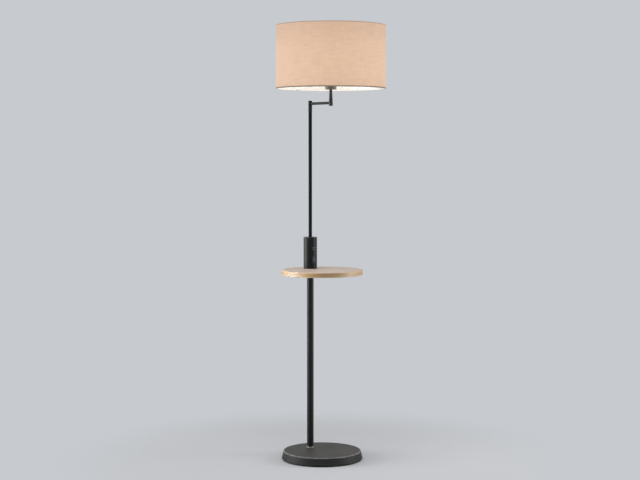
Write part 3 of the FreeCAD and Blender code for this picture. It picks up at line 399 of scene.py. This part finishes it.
def oak_top(settings):
    """Pale oak: long figure along X, fine pores and a satin lacquer."""
    made, s = material("oak_top")
    x, y, _ = s.parts(s.place())
    sway = s.cloud(s.joined(x * 4.0, y * 7.0), 1.0, detail=3.0)
    y = y + 0.03 * (sway - 0.5)
    figure = s.cloud(s.joined(x * 2.2, y * 62.0), 1.0, detail=5.0, roughness=0.62)
    fine = s.cloud(s.joined(x * 14.0, y * 800.0), 1.0, detail=2.0)
    pores = s.ease(s.cloud(s.joined(x * 70.0, y * 1900.0), 1.0, detail=2.0), 0.58, 0.72)
    pores = pores * s.ease(figure, 0.4, 0.62)
    oak, dark = Vector(settings.oak), Vector(settings.oak_dark)
    light = tuple(min(1.0, value * 1.12) for value in oak)
    colour = s.ramp(figure, (0.34, tuple(dark)), (0.46, tuple(oak * 0.9)), (0.56, tuple(oak)), (0.72, light))
    colour = s.blend(fine * 0.35, colour, light)
    colour = s.blend(pores * 0.45, colour, tuple(dark * 0.75))
    s.surface(
        Base_Color=colour,
        Roughness=0.5 + 0.12 * figure + 0.1 * pores,
        Specular_IOR_Level=0.35,
        Normal=s.bump(0.6 * fine - pores, 0.00006, 0.6),
    )
    return made


def oak_edging(settings):
    """Edging with its grain running round the table, and the joint where its ends meet."""
    made, s = material("oak_edge")
    along, z, _ = round_an_axis(s, CENTRE, TABLE_RADIUS)
    sway = s.cloud(s.joined(along * 9.0, z * 30.0), 1.0, detail=2.0)
    grain = z + 0.004 * (sway - 0.5)
    figure = s.cloud(s.joined(along * 5.0, grain * 260.0), 1.0, detail=5.0, roughness=0.6)
    fine = s.cloud(s.joined(along * 40.0, grain * 2200.0), 1.0, detail=2.0)
    light, dark = Vector(settings.edging), Vector(settings.edging_dark)
    colour = s.ramp(figure, (0.32, tuple(dark)), (0.5, tuple(light * 0.92)), (0.7, tuple(light * 1.08)))
    colour = s.blend(fine * 0.4, colour, tuple(dark * 1.15))
    # Lighter along the edging's top and bottom rims, in patches
    rims = s.ease(s.maths("ABSOLUTE", z - TABLE_MIDDLE), TABLE_HALF - 0.0024, TABLE_HALF - 0.0008)
    patches = s.ease(s.cloud(s.place(), 70.0, detail=4.0, roughness=0.7), 0.3, 0.6, 0.5, 1.0)
    colour = s.blend(rims * patches * 0.6, colour, PALE_RIM_OAK)
    half_way = math.pi * TABLE_RADIUS
    joint = s.ease(s.maths("ABSOLUTE", along), half_way - 0.0006, half_way - 0.0002)
    colour = s.blend(joint * 0.8, colour, tuple(dark * 0.3))
    s.surface(
        Base_Color=colour,
        Roughness=0.48 + 0.14 * figure,
        Specular_IOR_Level=0.9,
        Coat_Weight=0.45,
        Coat_Roughness=0.5,
        Normal=s.bump(fine - 2.0 * joint, 0.00006, 0.5),
    )
    return made


def woven_cloth(settings):
    """Linen-look plain weave with uneven yarns, lit from behind."""
    made, s = material("shade_weave")
    along, z, out = round_an_axis(s, SHADE, SHADE_RADIUS)
    column, row = along / settings.pitch, z / settings.pitch
    column_yarn, row_yarn = s.maths("FLOOR", column), s.maths("FLOOR", row)
    over = s.maths("FLOORED_MODULO", column_yarn + row_yarn, 2.0)
    upright = s.maths("ABSOLUTE", s.maths("SINE", column * math.pi))
    level = s.maths("ABSOLUTE", s.maths("SINE", row * math.pi))
    apart, length = 3.7, 55.0  # how much yarns differ from their neighbours, and along their length
    warp_tone = s.cloud(s.joined(column_yarn * apart, z * length), 1.0, detail=1.0)
    weft_tone = s.cloud(s.joined(along * length, row_yarn * apart, 8.0), 1.0, detail=1.0)
    yarn = over * warp_tone + (1 - over) * weft_tone
    relief = over * upright * (0.7 + warp_tone) + (1 - over) * level * (0.7 + weft_tone)
    level_streaks = s.cloud(s.joined(along * 24.0, z * 150.0), 1.0, detail=2.0)
    upright_streaks = s.cloud(s.joined(along * 170.0, z * 20.0, 5.0), 1.0, detail=2.0)
    mottle = s.cloud(s.joined(along * 18.0, z * 24.0, 3.0), 1.0, detail=4.0, roughness=0.6)
    slub = 0.5 * level_streaks + 0.3 * upright_streaks + 0.2 * mottle
    tone = 0.45 * yarn + 0.55 * slub
    cloth = Vector(settings.cloth)
    colour = s.ramp(tone, (0.32, tuple(cloth * 0.86)), (0.5, tuple(cloth)), (0.66, tuple(cloth * 1.12)))
    # Painted shade in the dips between the yarns
    shade_between_yarns = 1 - s.ease(relief, 0.12, 0.5)
    colour = s.blend(shade_between_yarns * 0.35, colour, tuple(cloth * 0.62))
    # Light from behind is stopped by the rings and the thick yarns
    low, high = SHADE_LOW.z, SHADE_HIGH.z
    above_ring = s.ease(z, low + 0.0022, low + 0.0062, 0.22, 1.0)
    below_ring = s.ease(z, high - 0.0055, high - 0.0012, 1.0, 0.55)
    brightest = low + 0.09
    near_bulb = 1 - 0.12 * s.ease(s.maths("ABSOLUTE", z - brightest), 0.03, 0.14)
    weave = 1.05 - 0.1 * s.ease(relief, 0.2, 1.1)
    thin = s.ease(slub, 0.34, 0.66, 1.07, 0.93)
    through = 0.87 * above_ring * below_ring * near_bulb * weave * thin  # stays under 1
    glow = s.blend(through, BLACK, tuple(settings.glow))
    # The edges tucked in over the rings face the bulb
    lit = (1 - s.ease(out, RING_RADIUS - 0.0017, RING_RADIUS - 0.0005)) * (0.9 + 0.1 * yarn)
    glow = s.blend(lit, glow, LIT_CLOTH)
    s.surface(
        Base_Color=colour,
        Roughness=0.86,
        Sheen_Weight=0.1,
        Sheen_Roughness=0.5,
        Emission_Color=glow,
        Emission_Strength=1.0,
        Normal=s.bump(relief + 0.8 * slub, 0.00016, 0.5),
    )
    return made


def shade_film(settings):
    """White film inside the shade, bright round the bulb, with the cloth's yarns showing faintly."""
    made, s = material("shade_white")
    along, z, _ = round_an_axis(s, SHADE, SHADE_RADIUS)
    shadow = s.cloud(s.joined(along * 60.0, z * 400.0), 1.0, detail=3.0)
    mottle = s.cloud(s.joined(along * 12.0, z * 14.0), 1.0, detail=3.0)
    near_bulb = 1 - 0.3 * s.ease(s.maths("ABSOLUTE", z - middle("bulb_globe").z), 0.02, 0.13)
    light = near_bulb * (0.94 + 0.06 * shadow + 0.05 * mottle)
    s.surface(
        Base_Color=s.blend(shadow * 0.3 + mottle * 0.2, srgb(247, 245, 240), srgb(236, 231, 222)),
        Roughness=0.5 + 0.1 * mottle,
        Emission_Color=s.blend(light, BLACK, tuple(settings.film)),
        Emission_Strength=settings.film_strength,
        Normal=s.bump(shadow, 0.00003, 0.4),
    )
    return made


def opal_glass(settings):
    """Lit globe, a little dimmer towards its body, with a glossy skin."""
    made, s = material("opal_glass")
    _, _, z = s.parts(s.place())
    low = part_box("bulb_globe")[0].z
    haze = s.cloud(s.place(), 90.0, detail=3.0)
    light = s.ease(z, low, low + 0.02, 0.72, 0.97) + 0.05 * (haze - 0.5)
    s.surface(
        Base_Color=s.blend(haze, srgb(248, 246, 240), srgb(255, 252, 246)),
        Roughness=0.22 + 0.08 * haze,
        Coat_Weight=0.3,
        Emission_Color=s.blend(light, BLACK, tuple(settings.bulb)),
        Emission_Strength=settings.bulb_strength,
    )
    return made


def moulded(name, colour, roughness, grain=1400.0, relief=0.00003, light=1.2, gloss=0.5):
    """Moulded plastic with its fine spark-eroded grain, slight flow marks and handling marks."""
    made, s = material(name)
    place = s.place()
    grit = s.cells(place, grain)
    flow = s.cloud(place, 45.0, detail=4.0, roughness=0.6)
    marks = s.ease(s.cloud(place, 260.0, detail=4.0, roughness=0.7), 0.6, 0.72)
    base = Vector(colour)
    tone = s.blend(flow, tuple(base * 0.85), tuple(min(1.0, value * light) for value in base))
    s.surface(
        Base_Color=tone,
        Roughness=roughness + 0.1 * flow + 0.12 * marks,
        Specular_IOR_Level=gloss,
        Normal=s.bump(grit, relief, 0.5),
    )
    return made


def bare_metal(name, colour, roughness, brushed=(1.0, 1.0, 1.0), thread=0.0):
    """Plated or turned metal: fine marks stretched by brushed, stains, and a thread's ridges."""
    made, s = material(name)
    place = s.place()
    x, y, z = s.parts(place)
    marks = s.cloud(s.joined(x * brushed[0], y * brushed[1], z * brushed[2]), 900.0, detail=3.0)
    stain = s.cloud(place, 130.0, detail=4.0, roughness=0.65)
    base = Vector(colour)
    height = marks * 0.3
    if thread:
        height = height + 4.0 * s.maths("SINE", z * (math.tau / thread))
    s.surface(
        Base_Color=s.blend(stain, tuple(base * 0.72), tuple(base)),
        Metallic=0.92 + 0.08 * marks,
        Roughness=roughness + 0.14 * stain + 0.08 * marks,
        Normal=s.bump(height, 0.00006 if not thread else 0.0002, 0.5),
    )
    return made


def gritty(name, dark, light, scale, roughness, relief):
    """Cast, sintered or foamed stuff: coarse and fine grains with pits between them."""
    made, s = material(name)
    place = s.place()
    coarse = s.cloud(place, scale, detail=6.0, roughness=0.7)
    pits = s.ease(s.cells(place, scale * 2.2), 0.08, 0.3)
    s.surface(
        Base_Color=s.blend(coarse * pits, dark, light),
        Roughness=roughness + 0.15 * coarse,
        Normal=s.bump(coarse + pits, relief, 0.7),
    )
    return made


def circuit_board():
    """Green solder resist over copper tracks, with tinned pads."""
    made, s = material("circuit_board")
    place = s.place()
    x, y, _ = s.parts(place)
    bends = 4.0 * s.cloud(s.joined(0.0, y * 90.0), 1.0)
    tracks = s.ease(s.maths("ABSOLUTE", s.maths("SINE", x * 1500.0 + bends)), 0.55, 0.65)
    pads = 1 - s.ease(s.cells(place, 330.0), 0.22, 0.27)
    colour = s.blend(tracks, srgb(22, 84, 44), srgb(38, 112, 62))
    s.surface(
        Base_Color=s.blend(pads, colour, srgb(196, 192, 180)),
        Metallic=pads * 0.9,
        Roughness=0.35 + 0.1 * s.cloud(place, 300.0),
        Normal=s.bump(tracks + pads, 0.00004, 0.6),
    )
    return made


# ---------------------------------------------------------------- pieces
def new_object(name, data):
    """A new object, in the scene."""
    made = bpy.data.objects.new(name, data)
    bpy.context.scene.collection.objects.link(made)
    return made


def new_piece(name, mesh_builder, finish, body):
    """A piece from a bmesh, with its finish, riding on a body if one is given."""
    mesh = bpy.data.meshes.new(name)
    mesh_builder.to_mesh(mesh)
    mesh_builder.free()
    piece = new_object(name, mesh)
    mesh.materials.append(finish)
    mesh.shade_smooth()
    if body:
        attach(piece, body)
    return piece


def give(finish, *nodes):
    """Gives CAD nodes a finish."""
    for name in nodes:
        for slot in frame["nodes"][name].material_slots:
            slot.material = finish


def in_slot(slot):
    """The CAD nodes of a material slot."""
    return [name for name in frame["nodes"] if SLOT_OF[name] == slot]


def arc(centre, radius, start, end, steps):
    """Points (out, up) on a circle between two angles in degrees."""
    angles = [math.radians(start + (end - start) * i / steps) for i in range(steps + 1)]
    return [Vector((centre[0] + radius * math.cos(a), centre[1] + radius * math.sin(a))) for a in angles]


# ---------------------------------------------------------------- shade cover
RISES = 30  # divisions up the side
RING_STEPS, CORNER_STEPS = 12, 8  # divisions of the bends over a ring and at a rim
WRAPPED = 22  # points at each end of the path where the cloth lies close to a ring
TUCK_GAP = 0.0001  # between the tucked edges and the liner's inside
ARMS, FIRST_ARM = 3, 90  # the frame's arms, and where the first one is, in degrees
ARM_SPACING = 360 / ARMS
ARM_CLEARANCE = 0.005  # each side of an arm, where these closer divisions stand instead
BESIDE_ARM = (-0.0044, -0.0032, -0.0026, -0.0021, -0.001, 0, 0.001, 0.0021, 0.0026, 0.0032, 0.0044)
NOTCH = 0.0024  # half the width of a notch
LAP_RISE, LAP_LIFT = 0.012, 0.00066  # over this length the cloth's end rises this far onto its start
RIPPLE, RIPPLE_OUT = 0.00022, 0.0001  # how uneven the stretched cloth is, and how far out it moves
RIPPLES_ROUND, RIPPLES_UP = 2.4, 9
MERGE = 1e-6


def cover_path(settings):
    """The cloth's middle line in section, from its edge tucked in over one ring to the other's."""
    half = settings.thickness / 2
    bend = RING_INSET - half
    corner = SHADE_RADIUS - RING_INSET
    tuck = LINER_INSIDE - TUCK_GAP
    half_tuck = (tuck + RING_RADIUS) / 2
    low, high = SHADE_LOW.z + RING_INSET, SHADE_HIGH.z - RING_INSET
    path = [Vector((tuck, low + bend)), Vector((half_tuck, low + bend))]
    path += arc((RING_RADIUS, low), bend, 90, 270, RING_STEPS)
    path += arc((corner, low), bend, 270, 360, CORNER_STEPS)
    path += [Vector((corner + bend, low + (high - low) * i / RISES)) for i in range(1, RISES)]
    path += arc((corner, high), bend, 0, 90, CORNER_STEPS)
    path += arc((RING_RADIUS, high), bend, 90, 270, RING_STEPS)
    path += [Vector((half_tuck, high - bend)), Vector((tuck, high - bend))]
    return path


def path_normals(path):
    """Outward unit normals of a path in section."""
    normals = []
    for i in range(len(path)):
        along = path[min(i + 1, len(path) - 1)] - path[max(i - 1, 0)]
        normals.append(Vector((along.y, -along.x)).normalized())
    return normals


def cover_angles(settings):
    """Angles round the shade, closer together beside the frame's arms, and where the cloth ends."""
    start = settings.seam - settings.overlap / 2 / SHADE_RADIUS
    end = start + math.tau + settings.overlap / SHADE_RADIUS
    angles = [start + (end - start) * i / settings.segments for i in range(settings.segments + 1)]
    for k in range(ARMS):
        arm = math.radians(FIRST_ARM + ARM_SPACING * k)
        while arm < start:
            arm += math.tau
        angles = [angle for angle in angles if abs(angle - arm) > ARM_CLEARANCE / SHADE_RADIUS]
        angles += [arm + side / SHADE_RADIUS for side in BESIDE_ARM]
    return sorted(angles), end


def arm_nearness(angle):
    """Distance along the rim to the nearest arm of the frame."""
    spacing = math.radians(ARM_SPACING)
    away = (angle - math.radians(FIRST_ARM)) % spacing
    return min(away, spacing - away) * RING_RADIUS


def cover_mesh(settings):
    """The cloth: its section carried round the shade, with notches for the arms and its ends lapped."""
    path = cover_path(settings)
    normals = path_normals(path)
    lowest = min(range(len(path) // 2), key=lambda i: path[i].y)  # under the lower ring
    angles, end = cover_angles(settings)
    half = settings.thickness / 2
    mesh = bmesh.new()
    loops = []
    for angle in angles:
        risen = (settings.overlap + LAP_RISE - (end - angle) * SHADE_RADIUS) / LAP_RISE
        lift = LAP_LIFT * min(1.0, max(0.0, risen))
        direction = Vector((math.cos(angle), math.sin(angle)))
        notched = arm_nearness(angle) < NOTCH
        outer, inner = [], []
        for i, (point, normal) in enumerate(zip(path, normals)):
            if notched and i < lowest:
                point, normal = path[lowest], normals[lowest]
            spread = lift
            if WRAPPED < i < len(path) - WRAPPED:
                x, y = direction.x * RIPPLES_ROUND, direction.y * RIPPLES_ROUND
                wave = noise.noise(Vector((x, y, point.y * RIPPLES_UP)))
                spread += RIPPLE * wave + RIPPLE_OUT
            for side, row in ((half, outer), (-half, inner)):
                at = point + normal * (side + spread)
                place = (SHADE.x + direction.x * at.x, SHADE.y + direction.y * at.x, at.y)
                row.append(mesh.verts.new(place))
        loops.append(outer + inner[::-1])
    count = len(loops[0])
    for before, after in zip(loops, loops[1:]):
        for i in range(count):
            j = (i + 1) % count
            mesh.faces.new((before[i], after[i], after[j], before[j]))
    mesh.faces.new(loops[0][::-1])
    mesh.faces.new(loops[-1])
    # The points of a notch lie on each other
    bmesh.ops.remove_doubles(mesh, verts=mesh.verts, dist=MERGE)
    bmesh.ops.recalc_face_normals(mesh, faces=mesh.faces)
    return mesh


class LAMP_OT_cover(Operator):
    """Stretches the woven strip over the shade's two rings, its edges tucked in and its ends lapped"""

    bl_idname = "floor_lamp.cover"
    bl_label = "Shade cover"

    def execute(self, context):
        settings = context.scene.floor_lamp.cover
        cloth = woven_cloth(settings)
        cover = new_piece("cover_cloth", cover_mesh(settings), cloth, "swing_arm")
        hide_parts("shade_cover")
        return {"FINISHED"}


class LAMP_OT_inside(Operator):
    """Finishes the inside of the shade: white film, white wires and the lit bulb"""

    bl_idname = "floor_lamp.inside"
    bl_label = "Shade inside and bulb"

    def execute(self, context):
        settings = context.scene.floor_lamp.light
        give(shade_film(settings), *in_slot("shade_white"))
        give(opal_glass(settings), *in_slot("opal_glass"))
        wires = moulded("white_coat", srgb(240, 240, 236), 0.4, grain=900.0, relief=0.00004)
        give(wires, *in_slot("white_coat"))
        give(bare_metal("bulb_metal", srgb(214, 214, 216), 0.22, thread=0.0036), *in_slot("bulb_metal"))
        return {"FINISHED"}


# ---------------------------------------------------------------- metalwork, fittings and table
class LAMP_OT_metalwork(Operator):
    """Gives the foot, collar, poles, housing, arm, stem and cup their powder coat"""

    bl_idname = "floor_lamp.metalwork"
    bl_label = "Coated metal"

    def execute(self, context):
        settings = context.scene.floor_lamp.finish
        give(powder_coat("black_coat", settings), *in_slot("black_coat"))
        housing = powder_coat("black_coat_housing", settings, housing_edges)
        give(housing, "housing_shell", "housing_cap")
        # The foot's lighter coat is painted light
        foot_painted_light_look = {"gloss": 0.2, "rough": 0.46, "colour": settings.foot}
        give(powder_coat("black_coat_foot_painted_light", settings, foot_rim_highlight, foot_top_dust_and_sheen, **foot_painted_light_look), "foot_cover")
        give(powder_coat("black_coat_pole", settings, gloss=0.08, rough=0.46), "upper_pole")
        give(powder_coat("black_coat_stem", settings, gloss=0.45, rough=0.2), "stem")
        # The cup's grey-brown is painted light from the lit shade
        give(powder_coat("black_coat_cup_painted_light", settings, gloss=0.5, colour=settings.cup), "holder_cup")
        collar = powder_coat("black_coat_collar", settings, collar_lip_highlight, gloss=0.8, rough=0.24)
        give(collar, "pole_collar")
        return {"FINISHED"}


class LAMP_OT_fittings(Operator):
    """Finishes nuts, washers, screws, contacts, ballast, foam, board and other inner pieces"""

    bl_idname = "floor_lamp.fittings"
    bl_label = "Fittings"

    def execute(self, context):
        glossy = {"relief": 0.000006, "gloss": 0.3}
        finishes = {
            "zinc_steel": bare_metal("zinc_steel", srgb(200, 201, 203), 0.3, (1.0, 1.0, 0.15)),
            "contact_metal": bare_metal("contact_metal", srgb(190, 160, 104), 0.28, (0.2, 1.0, 1.0)),
            "ballast": gritty("ballast", srgb(96, 93, 88), srgb(170, 166, 158), 240.0, 0.75, 0.0003),
            "foot_foam": gritty("foot_foam", srgb(14, 14, 14), srgb(38, 38, 38), 900.0, 0.8, 0.0001),
            "ferrite": gritty("ferrite", srgb(38, 38, 40), srgb(82, 82, 84), 1500.0, 0.6, 0.00004),
            "black_plastic": moulded("black_plastic", srgb(27, 27, 28), 0.5, gloss=0.25),
            "gloss_black_plastic": moulded("gloss_black_plastic", srgb(22, 22, 23), 0.36, **glossy),
            "white_plastic": moulded("white_plastic", srgb(236, 235, 230), 0.42, light=1.05),
            "circuit_board": circuit_board(),
        }
        for slot, finish in finishes.items():
            give(finish, *in_slot(slot))
        give(bare_metal("nickel", srgb(118, 118, 120), 0.38, (1.0, 0.3, 1.0)), "usb_shell")
        give(bare_metal("blackened_steel", srgb(46, 46, 48), 0.42), "stop_screw")
        give(moulded("holder_plastic", srgb(72, 66, 62), 0.42), "holder_body", "shade_ring")
        return {"FINISHED"}


class LAMP_OT_table(Operator):
    """Gives the table its oak top and edging"""

    bl_idname = "floor_lamp.table"
    bl_label = "Oak table"

    def execute(self, context):
        settings = context.scene.floor_lamp.finish
        give(oak_top(settings), *in_slot("oak_top"))
        give(oak_edging(settings), *in_slot("oak_edge"))
        return {"FINISHED"}


# ---------------------------------------------------------------- stage
CAMERA_PLACE = Vector((-3.3508, -4.1129, 1.1452))
CAMERA_TURN = math.radians(39.085)  # its level direction, from +Y towards +X
CAMERA_PITCH = math.radians(3.246)  # down
LENS, SENSOR, SHIFT = 81.0, 36.0, -0.012
FARTHEST = 200.0  # that the camera sees
FLOOR_RADIUS = 40.0
FADE_START, FADE_END = 0.42, 1.05  # from the lamp, where the floor runs out into the backdrop
AIM_HEIGHT = 1.0  # a light that stands higher is aimed down at it, and the others are level


def softbox(name, power, turn, distance, height, size, spread=180):
    """An area light, turned by an angle from the camera's side of the lamp and aimed at the Z axis."""
    data = bpy.data.lights.new(name, "AREA")
    data.shape = "RECTANGLE"
    data.size, data.size_y = size
    data.energy = power
    data.spread = math.radians(spread)
    light = new_object(name, data)
    angle = CAMERA_TURN + math.pi + math.radians(turn)
    light.location = (distance * math.sin(angle), distance * math.cos(angle), height)
    target = Vector((0, 0, min(height, AIM_HEIGHT)))
    light.rotation_mode = "QUATERNION"
    light.rotation_quaternion = (target - light.location).to_track_quat("-Z", "Y")
    light.visible_camera = False


def seen_directly(s):
    """1 on rays from the camera, a mirror or glass, 0 on rays that carry light."""
    path = s.node("ShaderNodeLightPath").socket.node
    names = ("Is Camera Ray", "Is Glossy Ray", "Is Transmission Ray")
    camera, glossy, through = [Signal(s, path.outputs[name]) for name in names]
    return s.maths("MAXIMUM", s.maths("MAXIMUM", camera, glossy), through)


def backdrop(settings):
    """The world: plain light from all round, and the backdrop's colour where it is seen directly."""
    world = bpy.data.worlds.new("studio")
    bpy.context.scene.world = world
    s = Shader(world)
    light = s.node("ShaderNodeBackground", inputs={"Color": (1, 1, 1), "Strength": settings.ambient})
    seen = s.node("ShaderNodeBackground", inputs={"Color": tuple(settings.backdrop), "Strength": 1.0})
    mixed = s.node("ShaderNodeMixShader", inputs={0: seen_directly(s), 1: light, 2: seen})
    s.end(mixed, "ShaderNodeOutputWorld")


def studio_floor(settings):
    """Pale floor with faint rolled-on texture, which runs out into the backdrop."""
    made, s = material("studio_floor")
    place = s.place()
    x, y, _ = s.parts(place)
    away = s.maths("SQRT", x * x + y * y)
    mottle = s.cloud(place, 3.0, detail=4.0)
    base = Vector(settings.floor)
    colour = s.blend(mottle, tuple(base * 0.985), tuple(base * 1.015))
    inputs = {"Base Color": colour, "Roughness": 0.75, "Specular IOR Level": 0.2}
    near = s.node("ShaderNodeBsdfPrincipled", inputs=inputs)
    far = s.node("ShaderNodeEmission", inputs={"Color": tuple(settings.backdrop), "Strength": 1.0})
    share = s.ease(away, FADE_START, FADE_END) * seen_directly(s)
    s.end(s.node("ShaderNodeMixShader", inputs={0: share, 1: near, 2: far}))
    return made


class LAMP_OT_stage(Operator):
    """Sets the camera, the floor, the backdrop and the lights"""

    bl_idname = "floor_lamp.stage"
    bl_label = "Camera and studio"

    def execute(self, context):
        settings = context.scene.floor_lamp.studio
        data = bpy.data.cameras.new("camera")
        data.lens, data.sensor_width, data.shift_y = LENS, SENSOR, SHIFT
        data.clip_end = FARTHEST
        camera = new_object("camera", data)
        camera.location = CAMERA_PLACE
        camera.rotation_euler = (math.pi / 2 - CAMERA_PITCH, 0, -CAMERA_TURN)
        context.scene.camera = camera
        context.scene.view_settings.view_transform = "Standard"
        backdrop(settings)
        disc = bmesh.new()
        bmesh.ops.create_circle(disc, cap_ends=True, segments=96, radius=FLOOR_RADIUS)
        new_piece("floor", disc, studio_floor(settings), None)
        left = {"turn": 88, "distance": 1.9, "height": 0.72, "size": (1.7, 1.3), "spread": 62}
        right = {"turn": -86, "distance": 2.2, "height": 0.75, "size": (0.8, 1.5), "spread": 100}
        above = {"turn": 20, "distance": 1.2, "height": 3.2, "size": (2.4, 2.4)}
        softbox("left_softbox", settings.left, **left)
        softbox("right_softbox", settings.right, **right)
        softbox("top_light", settings.top, **above)
        return {"FINISHED"}


class LAMP_PT_sidebar(Panel):
    """Settings and steps of the floor lamp"""

    bl_idname = "LAMP_PT_sidebar"
    bl_label = "Floor lamp with table"
    bl_space_type = "VIEW_3D"
    bl_region_type = "UI"
    bl_category = "Floor lamp"

    def draw(self, context):
        lamp = context.scene.floor_lamp
        for group in (lamp.cover, lamp.light, lamp.finish, lamp.studio):
            box = self.layout.box()
            for name in group.bl_rna.properties.keys():
                if name not in ("rna_type", "name"):
                    box.prop(group, name)
        for step in STEPS:
            self.layout.operator(step.bl_idname)


STEPS = (
    LAMP_OT_stage,
    LAMP_OT_cover,
    LAMP_OT_inside,
    LAMP_OT_metalwork,
    LAMP_OT_fittings,
    LAMP_OT_table,
)
SETTINGS = (CoverSettings, LightSettings, FinishSettings, StudioSettings, LampSettings)
CLASSES = (*SETTINGS, *STEPS, LAMP_PT_sidebar)


def register():
    for item in CLASSES:
        bpy.utils.register_class(item)
    bpy.types.Scene.floor_lamp = PointerProperty(type=LampSettings)


def unregister():
    del bpy.types.Scene.floor_lamp
    for item in reversed(CLASSES):
        bpy.utils.unregister_class(item)


def main():
    """Makes everything."""
    register()
    bpy.ops.floor_lamp.stage()
    bpy.ops.floor_lamp.cover()
    bpy.ops.floor_lamp.inside()
    bpy.ops.floor_lamp.metalwork()
    bpy.ops.floor_lamp.fittings()
    bpy.ops.floor_lamp.table()


if __name__ == "__main__":
    main()
